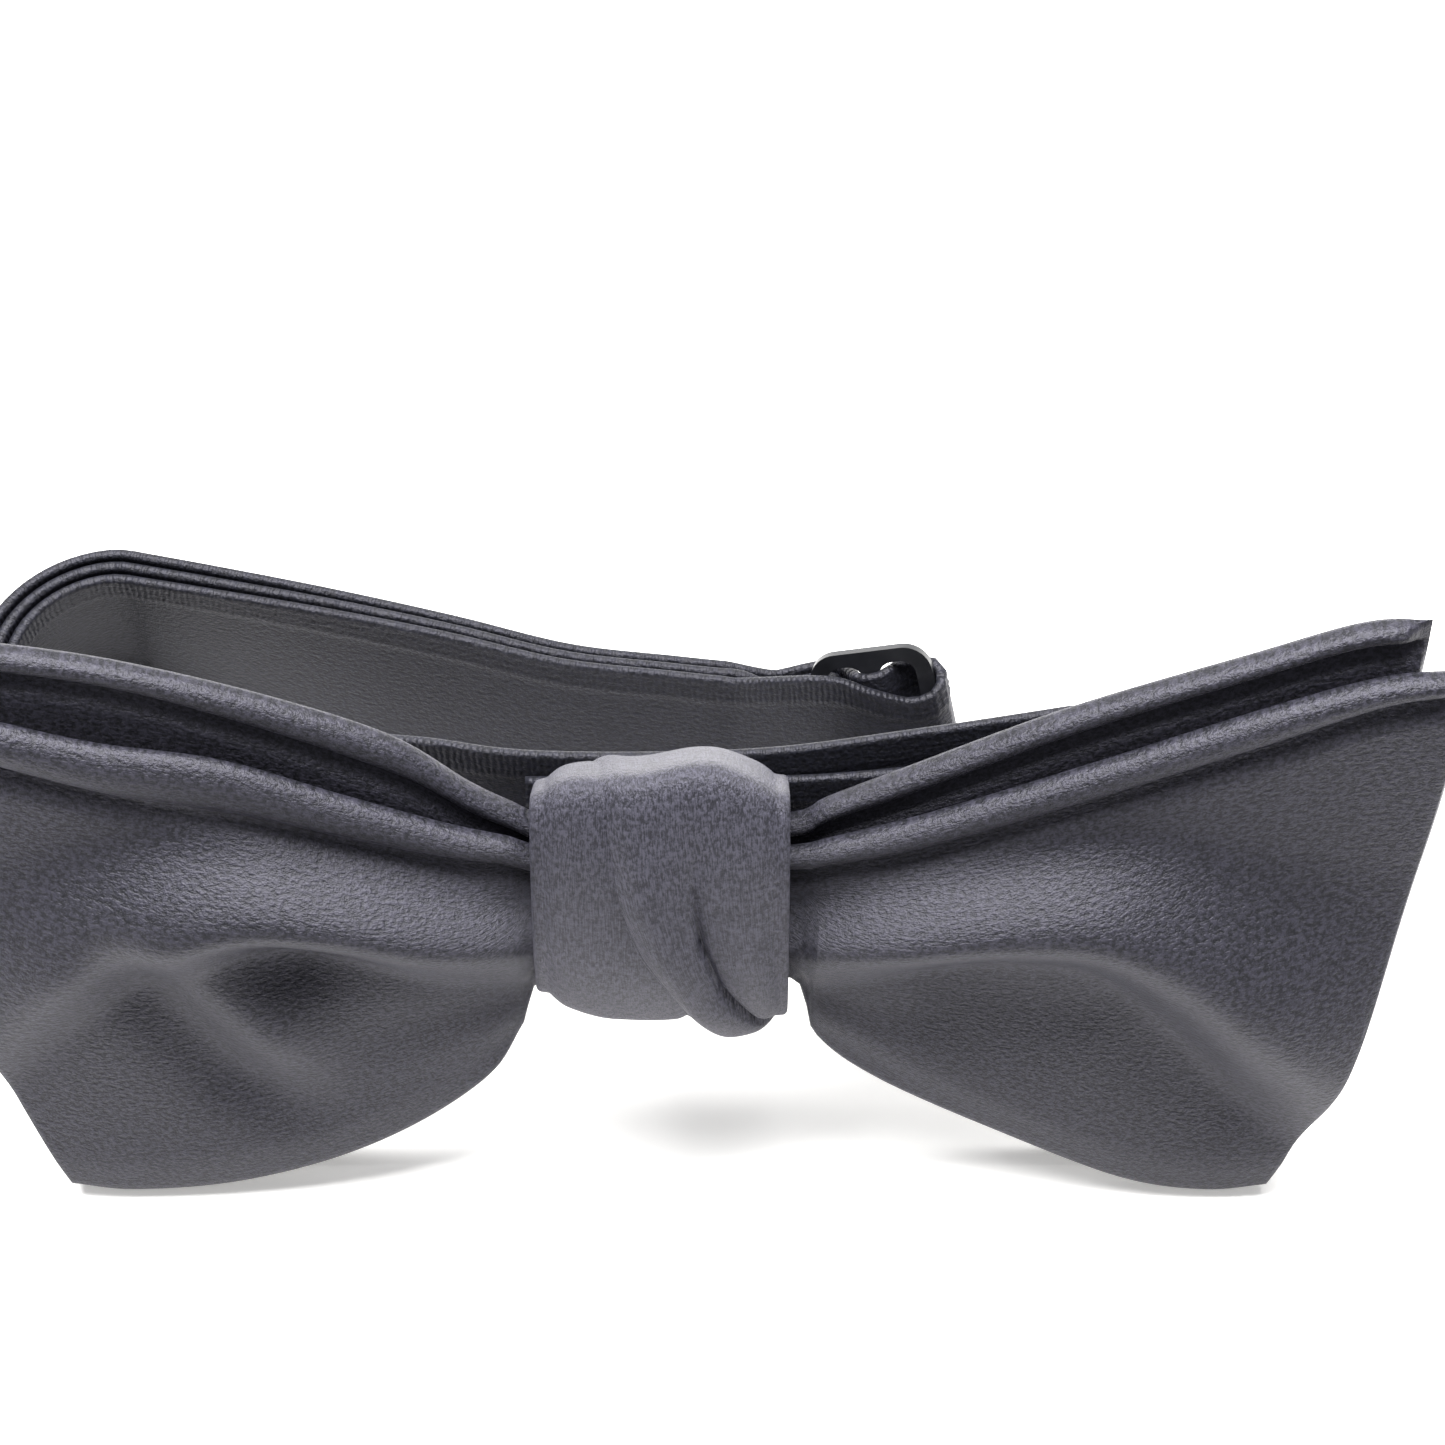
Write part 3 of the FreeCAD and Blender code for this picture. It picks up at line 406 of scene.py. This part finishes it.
def bow_piece(name, outline, level, roll_table, swell, columns=190, rows=92):
    """One bow layer as a closed shell: rolled top edge, crease, body and rounded rim."""
    frame_columns = layer_columns(outline, columns)
    down = np.linspace(0, 1, rows)
    in_top = down / TOP_ROWS
    share = np.where(down < TOP_ROWS,
                     TOP_SHARE * (1 - np.cos(in_top * math.pi / 2) * 0.55 - 0.45 * (1 - in_top)),
                     TOP_SHARE + (1 - TOP_SHARE) * (down - TOP_ROWS) / (1 - TOP_ROWS))
    share[-RIM_ROWS:] = 1 - (1 - share[-RIM_ROWS - 1]) * np.linspace(1, 0, RIM_ROWS + 1)[1:] ** 2
    grid = []
    last = columns - 1
    spine = [0.0]
    for i, (x_top, h_top, x_bottom, h_bottom) in enumerate(frame_columns):
        if i:
            spine.append(spine[-1] + math.hypot(*(frame_columns[i][:2] - frame_columns[i - 1][:2])) * MM)
        bulge = OUTER_BULGE * 4 * share * (1 - share) * smooth((abs(x_top) - 40.0) / 20.0)
        x = x_top + (x_bottom - x_top) * share + math.copysign(1.0, x_top) * bulge
        h = h_top + (h_bottom - h_top) * share
        length = math.hypot(x_top - x_bottom, h_top - h_bottom)
        from_top, from_bottom = share * length, (1 - share) * length
        roll = float(table_at(roll_table, np.array([x_top]))[0])
        middle = level + gathers(x, h, level)
        if swell:
            middle = middle + front_swell(x, h, h_top, h_bottom, roll, swell) * smooth(from_bottom / 4)
        # how far this column is from the nearer tip
        tip = min(i, last - i) * TIP_SPACING
        rim = np.minimum(np.minimum(from_bottom, tip), 5.0)
        thick = HALF_LAYER * np.sqrt(np.clip(1 - (1 - np.clip(rim / HALF_LAYER, 0, 1)) ** 2, 0, 1))
        in_roll = np.clip(from_top / roll, 0, 1)
        tube = np.sqrt(np.clip(1 - (2 * in_roll - 1) ** 2, 0, 1))
        step = smooth((from_top - roll) / CREASE_SOFTNESS)
        tip_share = smooth(tip / 3.0)
        rolled = from_top < roll
        front = SEAM + np.where(rolled, ROLL_FRONT * tube * tip_share, (thick - SEAM) * step)
        back = np.maximum(ROLL_BACK * tube * tip_share, thick * smooth(from_top / 1.2))
        back = np.where(rolled, back, thick)
        ring = [on_bow(a, b, c) for a, b, c in zip(x, h, middle + front)]
        ring += [on_bow(a, b, c) for a, b, c in zip(x[::-1], h[::-1], (middle - back)[::-1])][1:-1]
        grid.append(ring)
    across = np.concatenate([share, share[::-1][1:-1]]) * CLOTH_HEIGHT * MM
    return cloth_mesh(name, grid, spine, list(across))


# ------------------------------------------------------------------ knot
KNOT_HEIGHT, KNOT_DEPTH = 31.2, 0.0
KNOT_HALF = (10.3, 4.5)    # half height and half depth of the space in the knot
KNOT_TOP_SLOPE = 0.4       # how the knot's top falls away towards the back
KNOT_SQUARENESS = 3.9      # of the oval behind; less in front, by the rounding
FRONT_ROUNDING = 1.2
KNOT_NARROWING = 0.10      # how much lower the knot is at its sides
TURN_WALL = 0.9            # thickness of one turn
TURN_EDGE = 2.6            # how far in from its edges a turn starts to round off
KNOT_GIRTH, TURN_GIRTH = 56, 44     # lengths round the knot and round a turn's wall, for the weave
UNDER_TURN, OVER_TURN = (-10.5, 3.0), (-6.6, 9.5)   # the turns' left and right edges
OVER_BASE = 1.0            # the over turn lies on the under turn
# thread colours of the knot's strip: the wings' satin with painted light, its threads set lighter than the
# wings' so the knot looks more brightly lit
KNOT_LIT_DARK, KNOT_LIT_LIGHT = "#1C1C21", "#42414B"
# (x, h) down the over turn's left edge and down its pleat
EDGE_LINE = [(-5.6, 46.0), (-5.2, 38.8), (-4.1, 32.7), (-2.3, 28.0), (0.4, 23.5), (3.4, 18.5)]
PLEAT_LINE = [(2.6, 39.0), (1.9, 35.0), (2.4, 30.0), (4.0, 25.4), (6.4, 21.6), (8.8, 19.0)]


def knot_loop(x, angle, grow):
    """A point of the knot's squarish oval, grown outwards: rounded in front, flatter behind."""
    c, s = math.cos(angle), math.sin(angle)
    power = 2 / (KNOT_SQUARENESS - FRONT_ROUNDING * float(smooth(s)))
    narrow = 1.0 - KNOT_NARROWING * float(smooth((abs(x + 0.4) - 4.0) / 6.5))
    h = math.copysign(abs(c) ** power, c) * (KNOT_HALF[0] * narrow + grow)
    d = math.copysign(abs(s) ** power, s) * (KNOT_HALF[1] + grow)
    h -= KNOT_TOP_SLOPE * (KNOT_HALF[1] - d) * max(c, 0.0)
    h += 0.5 * math.sin(x * 0.55) * max(c, 0.0) - 0.05 * x * max(-c, 0.0)
    return x, KNOT_HEIGHT + h, KNOT_DEPTH + d


def side_of(x, h, line):
    """How far a point is to the right of a line that runs down the knot."""
    heights = [p[1] for p in line][::-1]
    return x - float(np.interp(h, heights, [p[0] for p in line][::-1]))


def under_form(x, h, front):
    """Outward growth of the under turn: crowned, pinched a little at its waist."""
    crown = 0.9 * (1 - abs((x + 3.0) / 7.6) ** 2.4)
    return crown + front * 0.25 * math.cos((h - 31) / 6.5)


def over_form(x, h, front):
    """Outward growth of the over turn: a roll that slants down to the right and tucks over a pleat."""
    right = side_of(x, h, PLEAT_LINE)
    left = side_of(x, h, EDGE_LINE)
    deep = float(smooth((39.5 - h) / 12.0))
    form = 0.55 * (1 - max((x - 5.0) / 4.6, 0.0) ** 2.6)
    if front <= 0:
        return form
    if right < 0:
        middle = left / (left - right) if left > right else 0.5
        hump = max(0.0, 1 - (2 * min(max(middle, 0), 1) - 1) ** 2)
        roll = (0.25 + 1.15 * deep) * 0.9 * math.sqrt(hump) * float(smooth((h - 17.0) / 7.0))
        return form + front * roll
    tuck = -0.55 * deep * math.exp(-(right / 0.5) ** 2)
    swell = 0.42 * math.sin(min(right / 5.6, 1.0) * math.pi) * (0.3 + 0.7 * deep)
    return form + front * (tuck + swell)


def knot_turn(name, edges, base, form, edge_line, columns=70, around=150):
    """One turn of the knot's strip as a closed tube wall with rounded edges."""
    inner_count = 10
    edge_angles = [math.pi / 14 * k for k in range(1, 7)]
    radius = TURN_WALL / 2
    grid = []
    for k in range(around):
        angle = 2 * math.pi * k / around
        front = float(smooth((math.sin(angle) + 0.25) / 0.8))
        _, h_here, _ = knot_loop(0, angle, base + 1.0)
        left, right = edges
        if edge_line:
            slanted = -side_of(0.0, h_here, edge_line)
            left += (slanted - left) * float(smooth((math.sin(angle) + 0.5) / 0.9))

        def place(x, out):
            return on_bow(*knot_loop(x, angle, base + out))

        def top(x):
            fall = min(x - left, right - x)
            rounded = -1.4 * max(0.0, 1 - fall / TURN_EDGE) ** 2.0
            return TURN_WALL + max(form(x, h_here, front) + rounded, -0.2)

        def edge(at, side, angles):
            """Points round an edge of the turn, from outside to inside for angles 0 to a right angle."""
            half = top(at) / 2
            outer = [place(at + side * radius * math.sin(a), half + half * math.cos(a)) for a in angles]
            inner = [place(at + side * radius * math.sin(a), half - half * math.cos(a)) for a in angles[::-1]]
            return outer + [place(at + side * radius, half)] + inner

        inside, outside = left + radius, right - radius
        ring = [place(x, top(x)) for x in np.linspace(inside, outside, columns)]
        ring += edge(outside, 1, edge_angles)
        ring += [place(x, 0.0) for x in np.linspace(outside, inside, inner_count)]
        ring += edge(inside, -1, edge_angles)[::-1]
        grid.append(ring)
    size = len(grid[0])
    girth = [k / around * KNOT_GIRTH * MM for k in range(around + 1)]
    return ring_mesh(name, grid, girth, [j / size * TURN_GIRTH * MM for j in range(size)])


def ring_mesh(name, grid, along, across):
    """A ring-shaped piece from a grid that closes both ways."""
    rows, columns = len(grid), len(grid[0])
    faces = []
    for i in range(rows):
        row, after = i * columns, (i + 1) % rows * columns
        for j in range(columns):
            right = (j + 1) % columns
            faces.append((row + j, row + right, after + right, after + j))
    piece, mesh, layer = new_piece(name, grid, faces)
    for polygon in mesh.polygons:
        i, j = divmod(polygon.index, columns)
        corners = ((i, j), (i, j + 1), (i + 1, j + 1), (i + 1, j))
        for loop, (a, b) in zip(polygon.loop_indices, corners):
            layer.data[loop].uv = (along[a], across[b] if b < columns else across[-1] + across[1])
    return finished(piece)


# ------------------------------------------------------------------ neckband
BAND_HALF = 8.0
LAYER_PITCH = 1.3          # spacing of the strap's layers along the back run
LOOP_RADIUS = 1.35         # strap centreline round a bar
LOOP_REACH = 4.4           # a strap's two layers come together this far from a hook or eye bar
HOOK_SPREAD, EYE_SPREAD = 0.65, 0.5     # half the gap between the layers there
CORDS_AT, CORD_SPREAD = (0.93, 0.83, 0.73), 0.035   # raised cords, as shares of the half width
STRAP_END = 0.955          # share of the half width where the edge starts to round
# thread colours of the band: the bow's satin with painted shade, its threads set darker than the bow's; the
# band is duller than the bow by this roughness
BAND_SHADED_DARK, BAND_SHADED_LIGHT = "#040507", "#15161E"
BAND_DULLER = 0.05
# the straight run behind the bow: x, y, middle height, lean
BACK_RUN_PATH = [
    (7.4, 36.8, 8.4, 29.0), (0.0, 38.0, 7.9, 28.8), (-9.8, 39.7, 7.35, 28.0), (-20.0, 42.75, 7.4, 25.0),
    (-30.0, 45.75, 7.6, 18.0), (-40.0, 48.75, 7.8, 9.0), (-47.0, 50.8, 7.9, 3.0)]
HOOK_BAR = (-45.5, 23.35, 11.0)
EYE_BAR = (20.5, 26.2, 18.0)
RIGHT_BAR = Vector((23.2, 35.2, 12.3))
SLIDE_LEAN = 30.0          # degrees
SLIDE_TURN = math.radians(18.0)     # the slide is turned in its own plane
BAR_PITCH = 4.6
LEFT_BAR = -2 * BAR_PITCH
LEFT_BEND = (-48.4, 41.0, 7.95)
LEFT_BEND_RADIUS = 10.5
LEFT_BEND_ANGLES = (82, 100, 118, 136, 154, 172, 180)
LEFT_BEND_END = (-58.9, 36.0, 8.0, 0.0)
TO_HOOK_PATH = [
    LEFT_BEND_END, (-58.9, 33.0, 8.3, 0.0), (-58.3, 28.6, 9.2, 0.0), (-55.4, 25.2, 10.3, 0.0),
    (-51.5, 24.0, 10.9, 0.0)]
# the strap through the slide, in the slide's axes (along, outwards): from behind it, over the middle bar
SLIDE_STRAP_PATH = [
    (-13.5, -1.75), (-11.5, -2.1), (-9.2, -2.45), (-7.5, -1.85), (-6.5, -0.5), (-5.9, 0.55), (-5.3, 1.05),
    (-4.6, 1.15), (-3.9, 1.05), (-3.3, 0.45), (-2.7, -0.4), (-1.9, -1.1), (-0.9, -1.38)]
SLIDE_STRAP_END = (-1.6, 1.55)
SLIDE_STRAP_LIFT = (0.3, -1.4)      # up the bars, at its first and last section
SLIDE_STRAP_HALF = (8.0, 7.2)       # half width there
END_LOOP_LIFT = (-0.2, -0.2)
# the strap in front of the slide: along, up, outwards, how far it follows the bars, half width
SLIDE_FRONT = [(-4.6, -1.4, 2.4, 0.8, 7.4), (-9.2, -1.3, 2.55, 0.45, 7.8)]

# free runs of the band: x, y, middle height, lean
BOW_STRAP_START = [(-57.6, 36.0, 8.0, 0.0), (-57.5, 34.6, 8.1, 0.0)]
LONG_STRAP_PATH = [
    (-56.3, 31.9, 8.5, 0.0), (-52.2, 30.1, 9.5, 0.0), (-44.5, 29.7, 11.5, 2.0),
    (-36.0, 28.9, 13.9, 7.0), (-28.0, 27.2, 16.6, 14.0), (-20.0, 24.6, 19.2, 22.0),
    (-12.0, 21.9, 21.2, 28.0), (-1.0, 21.15, 22.2, 28.0), (10.0, 21.45, 22.65, 28.0),
    (22.0, 22.3, 24.35, 28.0), (33.5, 23.4, 25.95, 28.0)]
SHORT_STRAP_PATH = [
    (-11.5, 19.4, 21.25, 28.0), (0.0, 19.4, 21.25, 28.0), (12.0, 19.5, 21.45, 28.0),
    (22.0, 20.0, 22.35, 28.0), (31.0, 20.7, 23.35, 28.0), (39.0, 21.5, 24.05, 26.0),
    (44.0, 22.1, 24.15, 25.0), (47.0, 22.7, 23.9, 25.0), (48.5, 23.9, 23.35, 25.0),
    (47.0, 25.1, 22.8, 25.0), (43.5, 25.9, 22.3, 21.0), (38.5, 26.4, 21.2, 13.0),
    (33.0, 26.4, 19.6, 5.0), (28.5, 26.0, 18.45, 1.0), (24.9, 25.7, 18.05, 0.0)]


def section(centre, tangent, lean, half=BAND_HALF):
    """A strap's cross-section (centre, half-width vector, normal); the width leans away from the front."""
    tilt = math.radians(lean)
    up = Vector((0, math.sin(tilt), math.cos(tilt)))
    up = (up - tangent * up.dot(tangent)).normalized()
    return Vector(centre), up * half, up.cross(tangent).normalized()


def path_sections(path, spacing=1.5):
    """Sections along a smooth path of (x, y, z, lean) points."""
    _, length = curve_through(path, 2)
    points, _ = curve_through(path, max(3, round(length / spacing)))
    sections = []
    for i, (x, y, z, lean) in enumerate(points):
        ahead, behind = points[min(i + 1, len(points) - 1)], points[max(i - 1, 0)]
        sections.append(section((x, y, z), Vector(ahead[:3] - behind[:3]).normalized(), lean))
    return sections


ALONG = Vector((0.983, -0.185, 0)).normalized()
_, UPRIGHT, FACING = section((0, 0, 0), -ALONG, SLIDE_LEAN, 1.0)
SLIDE_ALONG = ALONG * math.cos(SLIDE_TURN) + UPRIGHT * math.sin(SLIDE_TURN)
SLIDE_UP = UPRIGHT * math.cos(SLIDE_TURN) - ALONG * math.sin(SLIDE_TURN)


def slide_sections(path, lift, half_width):
    """Sections of a strap that passes through the slide, from (a, n) points; its width follows the bars."""
    points = [RIGHT_BAR + SLIDE_ALONG * a + FACING * n for a, n in path]
    sections = []
    for i, centre in enumerate(points):
        ahead, behind = points[min(i + 1, len(points) - 1)], points[max(i - 1, 0)]
        share = float(smooth(2 * i / (len(points) - 1) - 1))
        up = lift[0] + (lift[1] - lift[0]) * share
        half = half_width[0] + (half_width[1] - half_width[0]) * share
        normal = SLIDE_UP.cross(ahead - behind).normalized()
        sections.append((centre + SLIDE_UP * up, SLIDE_UP * half, normal))
    return sections


def along_slide(t, w, n, follow, half_width):
    """A section of the strap in front of the slide; it leans with the strap or follows the bars."""
    centre = RIGHT_BAR + ALONG * t + UPRIGHT * w + FACING * n
    side = UPRIGHT * (1 - follow) + SLIDE_UP * follow
    return centre, side.normalized() * half_width, FACING


def turned(sections):
    """The same strap sections read from the other end."""
    return [(c, half, n * -1) for c, half, n in reversed(sections)]


def half_turn(steps, centre=0.0, first=0):
    """Points (a, n) round a bar, from behind it to in front."""
    angles = [-math.pi / 2 + math.pi * k / steps for k in range(first, steps + 1)]
    return [(centre + LOOP_RADIUS * math.cos(t), LOOP_RADIUS * math.sin(t)) for t in angles]


def bar_loop(bar, side, spread):
    """Upright sections of a strap that wraps an upright bar, coming from its left for side +1."""
    x, y, z = bar
    far, near = x - side * LOOP_REACH, x - side * LOOP_REACH * 0.5
    half_way = (spread + LOOP_RADIUS) / 2
    plan = [(far, y - spread), (near, y - half_way)]
    plan += [(x + side * a, y + n) for a, n in half_turn(10)]
    plan += [(near, y + half_way), (far, y + spread)]
    return path_sections([(px, py, z, 0.0) for px, py in plan], 0.5)


def shifted(sections, offset):
    """The same strap sections, moved along their normals."""
    return [(c + n * offset, half, n) for c, half, n in sections]


def resampled(sections, spacing=1.1):
    """The same strap with evenly spaced sections."""
    rows = [tuple(c) + tuple(half) + tuple(n) for c, half, n in sections]
    _, length = curve_through(rows, 2)
    points, _ = curve_through(rows, max(4, round(length / spacing)))
    return [(Vector(p[:3]), Vector(p[3:6]), Vector(p[6:9]).normalized()) for p in points], length


def strap_profile():
    """Half-width share and outward level round a strap: flat middle, corded edges, rounded ends."""
    outer = []
    for s in np.linspace(-STRAP_END, STRAP_END, 45):
        cord = sum(math.exp(-((abs(s) - at) / CORD_SPREAD) ** 2) for at in CORDS_AT)
        outer.append((s, 0.40 + 0.13 * cord - 0.04 * (1 - s * s)))
    end = [(STRAP_END + (1 - STRAP_END) * math.sin(a), 0.48 * math.cos(a))
           for a in np.linspace(0.35, math.pi - 0.35, 7)]
    inner = [(s, -level) for s, level in outer[::-1]]
    return outer + end + inner + [(-s, -level) for s, level in end]


def strap_piece(name, sections, on_table):
    """A strap through its sections, cut flat on the table where it rests, and its length in millimetres."""
    sections, length = resampled(sections)
    profile = strap_profile()
    grid = []
    for centre, half, normal in sections:
        ring = []
        for s, level in profile:
            p = centre + half * s + normal * level
            if on_table:
                p.z = max(p.z, 0.0)
            ring.append((p - BASE) * MM)
        grid.append(ring)
    along = [length * MM * i / (len(sections) - 1) for i in range(len(sections))]
    piece = cloth_mesh(name, grid, along, [s * BAND_HALF * MM for s, _ in profile])
    piece["length_mm"] = round(length, 1)
    return piece, length


def back_run(offset):
    """The straight run behind the bow, from the slide to the left bend."""
    return shifted(path_sections(BACK_RUN_PATH), offset)


def left_bend(offset):
    """Round the left end of the folded band and back towards the bow."""
    x, y, z = LEFT_BEND
    points = []
    for angle in map(math.radians, LEFT_BEND_ANGLES):
        a, b = LEFT_BEND_RADIUS * math.cos(angle), LEFT_BEND_RADIUS * math.sin(angle)
        points.append((x + a, y + b, z, 0.0))
    return shifted(path_sections(points + [LEFT_BEND_END]), offset)


# ------------------------------------------------------------------ settings, operators and panel
class BowTieSettings(bpy.types.PropertyGroup):
    swell: bpy.props.FloatProperty(
        name="Front swell", description="How far the front wings stand out at their crest",
        default=0.005, min=0.0, max=0.009, unit="LENGTH")
    dark_navy: bpy.props.StringProperty(
        name="Satin shade", description="Darker thread colour of the satin, as an sRGB hex value",
        default="#08090C")
    light_navy: bpy.props.StringProperty(
        name="Satin light", description="Lighter thread colour of the satin, as an sRGB hex value",
        default="#2A2932")
    enamel: bpy.props.StringProperty(
        name="Enamel", description="Colour of the slide, hook and eye, as an sRGB hex value",
        default="#0C0C0E")
    gloss: bpy.props.FloatProperty(
        name="Satin roughness", description="Lower is shinier",
        default=0.5, min=0.2, max=0.9, subtype="FACTOR")


class BOWTIE_OT_wings(bpy.types.Operator):
    """Build the front and back layers of the bow"""
    bl_idname = "bowtie.wings"
    bl_label = "Bow layers"

    def execute(self, context):
        settings = context.scene.bow_tie
        cloth = satin("Navy satin, bow", settings.dark_navy, settings.light_navy, settings.gloss)
        for name, outline, level, rolls, swell in (
                ("front_bow", FRONT_OUTLINE, FRONT_LEVEL, FRONT_ROLL, settings.swell / MM),
                ("back_bow", BACK_OUTLINE, BACK_LEVEL, BACK_ROLL, 0.0)):
            piece = bow_piece(name + "_satin", outline, level, rolls, swell)
            give(piece, cloth)
            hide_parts(name + "_face_ply", name + "_interlining", name + "_back_ply")
            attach(piece, "root")
        return {"FINISHED"}


class BOWTIE_OT_knot(bpy.types.Operator):
    """Build the two turns of the knot"""
    bl_idname = "bowtie.knot"
    bl_label = "Knot"

    def execute(self, context):
        settings = context.scene.bow_tie
        # painted light: the knot's satin takes lighter thread colours than the wings'
        cloth = satin("Navy satin, knot, painted lighter", KNOT_LIT_DARK, KNOT_LIT_LIGHT, settings.gloss)
        turns = (
            ("knot_under_turn", UNDER_TURN, 0.0, under_form, None, (0.013, 0.060)),
            ("knot_over_turn", OVER_TURN, OVER_BASE, over_form, EDGE_LINE, (0.015, 0.066)))
        for node, edges, base, form, edge_line, flat in turns:
            piece = knot_turn(node + "_satin", edges, base, form, edge_line)
            give(piece, cloth)
            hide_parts(node)
            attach(piece, "root")
        return {"FINISHED"}


class BOWTIE_OT_neckband(bpy.types.Operator):
    """Build the folded neckband and the loops at its fittings"""
    bl_idname = "bowtie.neckband"
    bl_label = "Neckband"

    def execute(self, context):
        settings = context.scene.bow_tie
        # painted shade: the band's satin takes darker thread colours than the bow's
        cloth = satin("Navy satin, neckband, painted darker", BAND_SHADED_DARK, BAND_SHADED_LIGHT, settings.gloss + BAND_DULLER, True)
        in_slide = slide_sections(SLIDE_STRAP_PATH + half_turn(8, first=1) + [SLIDE_STRAP_END],
                                  SLIDE_STRAP_LIFT, SLIDE_STRAP_HALF)
        fixed = [(LEFT_BAR - 4.3, -0.45), (LEFT_BAR - 2.0, -1.0)] + half_turn(8, LEFT_BAR)
        fixed += [(LEFT_BAR - 2.0, 1.0), (LEFT_BAR - 4.0, 0.6)]
        end_loop = slide_sections(fixed, END_LOOP_LIFT, (BAND_HALF, BAND_HALF))
        to_hook = path_sections(TO_HOOK_PATH)
        rear = back_run(-LAYER_PITCH)[2:] + left_bend(-LAYER_PITCH)[1:]
        front = [in_slide[-1]] + [along_slide(*station) for station in SLIDE_FRONT]
        front += back_run(LAYER_PITCH)[1:] + left_bend(LAYER_PITCH)[1:]
        middle = turned(end_loop[:1]) + back_run(0.0)[1:] + left_bend(0.0)[1:]
        pieces = {
            # one strip: left bend, front of the back run, through the slide, rear of the back run, left bend
            "running_strap": (turned(front) + turned(in_slide)[1:] + rear,
                              ("doubled_strap_rear_layer", "strap_through_slide")),
            "hook_end_strap": (shifted(to_hook, -LAYER_PITCH) + bar_loop(HOOK_BAR, 1, HOOK_SPREAD),
                               ("doubled_strap_rear_layer",)),
            "middle_strap": (middle + to_hook[1:], ("doubled_strap_middle_layer",)),
            "bow_strap": (path_sections(BOW_STRAP_START + LONG_STRAP_PATH), ("long_strap",)),
            "short_strap_satin": (path_sections(SHORT_STRAP_PATH)[:-1] + bar_loop(EYE_BAR, -1, EYE_SPREAD),
                                  ("short_strap",)),
            "end_loop_satin": (end_loop, ("strap_end_loop",)),
        }
        for name, (sections, nodes) in pieces.items():
            piece, length = strap_piece(name, sections, on_table=name != "short_strap_satin")
            give(piece, cloth)
            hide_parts(*nodes)
            if name in ("running_strap", "middle_strap"):
                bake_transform(piece)
            elif name == "end_loop_satin":
                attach(piece, "slide")
            else:
                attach(piece, "root")
        return {"FINISHED"}


class BOWTIE_OT_fittings(bpy.types.Operator):
    """Finish the slide, hook, eye, threads and filling"""
    bl_idname = "bowtie.fittings"
    bl_label = "Fittings and threads"

    def execute(self, context):
        black = enamel("Black stoving enamel on steel", context.scene.bow_tie.enamel)
        thread = spun("Navy sewing thread", "#0E1018", "#2A2F42", 2400.0)
        filling = spun("Brushed cotton interlining", "#B9B4A6", "#DAD6CA", 900.0)
        finishes = {"slide_frame": black, "hook_plate": black, "eye_plate": black,
                    "centre_binding_thread": thread, "knot_closing_stitches": thread,
                    "strap_end_bar_tack": thread, "eye_loop_bar_tack": thread, "knot_padding": filling}
        for node, material in finishes.items():
            give(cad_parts[node], material)
        return {"FINISHED"}


# the stage, in metres; a high close camera looks down on the bow
FLOOR_SIZE, FLOOR_DROP = 3.0, 0.0002
TABLE_GLOW = 0.3
ROOM_LIGHT = 0.36
WINDOW_AT, WINDOW_SIZE, WINDOW_POWER = (-0.06, 0.26, 0.73), (0.8, 0.5), 26.0
CAMERA_AT, CAMERA_TILT = (0.004468, -0.124957, 0.249048), math.radians(30.0)
LENS, SENSOR, NEAR_CLIP = 78.48, 36.0, 0.01


class BOWTIE_OT_stage(bpy.types.Operator):
    """Build the pale floor, the soft light and the camera"""
    bl_idname = "bowtie.stage"
    bl_label = "Stage"

    def execute(self, context):
        bpy.ops.object.select_all(action="DESELECT")
        bpy.ops.mesh.primitive_plane_add(size=FLOOR_SIZE, location=(0.0, 0.0, -FLOOR_DROP))
        floor = context.object
        floor.name = "stage_floor"
        material, _, shader = new_material("Pale table top")
        # a brightly lit table: its own glow keeps the shadows pale
        set_inputs(shader, {"Base Color": linear("#FBFAF8"), "Roughness": 0.85,
                            "Emission Color": linear("#FFFDF8"), "Emission Strength": TABLE_GLOW})
        give(floor, material)

        world = bpy.data.worlds.new("Soft room")
        context.scene.world = world
        world.use_nodes = True
        set_inputs(world.node_tree.nodes["Background"], {"Color": linear("#F4F6FC"), "Strength": ROOM_LIGHT})

        bpy.ops.object.light_add(type="AREA", location=WINDOW_AT)
        window = context.object
        window.name = "window_light"
        window.data.shape = "RECTANGLE"
        window.data.size, window.data.size_y = WINDOW_SIZE
        window.data.energy = WINDOW_POWER
        aim = Vector((0.0, 0.0, 0.02)) - window.location
        window.rotation_euler = aim.to_track_quat("-Z", "Y").to_euler()

        bpy.ops.object.camera_add(location=CAMERA_AT, rotation=(CAMERA_TILT, 0.0, 0.0))
        camera = context.object
        camera.name = "studio_camera"
        camera.data.lens = LENS
        camera.data.sensor_width = SENSOR
        camera.data.clip_start = NEAR_CLIP
        context.scene.camera = camera
        context.scene.view_settings.view_transform = "Standard"
        return {"FINISHED"}


class BOWTIE_PT_panel(bpy.types.Panel):
    """Lists the steps and settings of the bow tie"""
    bl_idname = "BOWTIE_PT_panel"
    bl_label = "Bow Tie"
    bl_space_type = "VIEW_3D"
    bl_region_type = "UI"
    bl_category = "Bow Tie"

    def draw(self, context):
        for name in BowTieSettings.__annotations__:
            self.layout.prop(context.scene.bow_tie, name)
        for step in STEPS:
            self.layout.operator(step.bl_idname)


STEPS = (BOWTIE_OT_wings, BOWTIE_OT_knot, BOWTIE_OT_neckband, BOWTIE_OT_fittings, BOWTIE_OT_stage)
CLASSES = (BowTieSettings,) + STEPS + (BOWTIE_PT_panel,)


def register():
    for item in CLASSES:
        bpy.utils.register_class(item)
    bpy.types.Scene.bow_tie = bpy.props.PointerProperty(type=BowTieSettings)


def unregister():
    del bpy.types.Scene.bow_tie
    for item in reversed(CLASSES):
        bpy.utils.unregister_class(item)


def main():
    register()
    for step in STEPS:
        group, name = step.bl_idname.split(".")
        getattr(getattr(bpy.ops, group), name)()


if __name__ == "__main__":
    main()
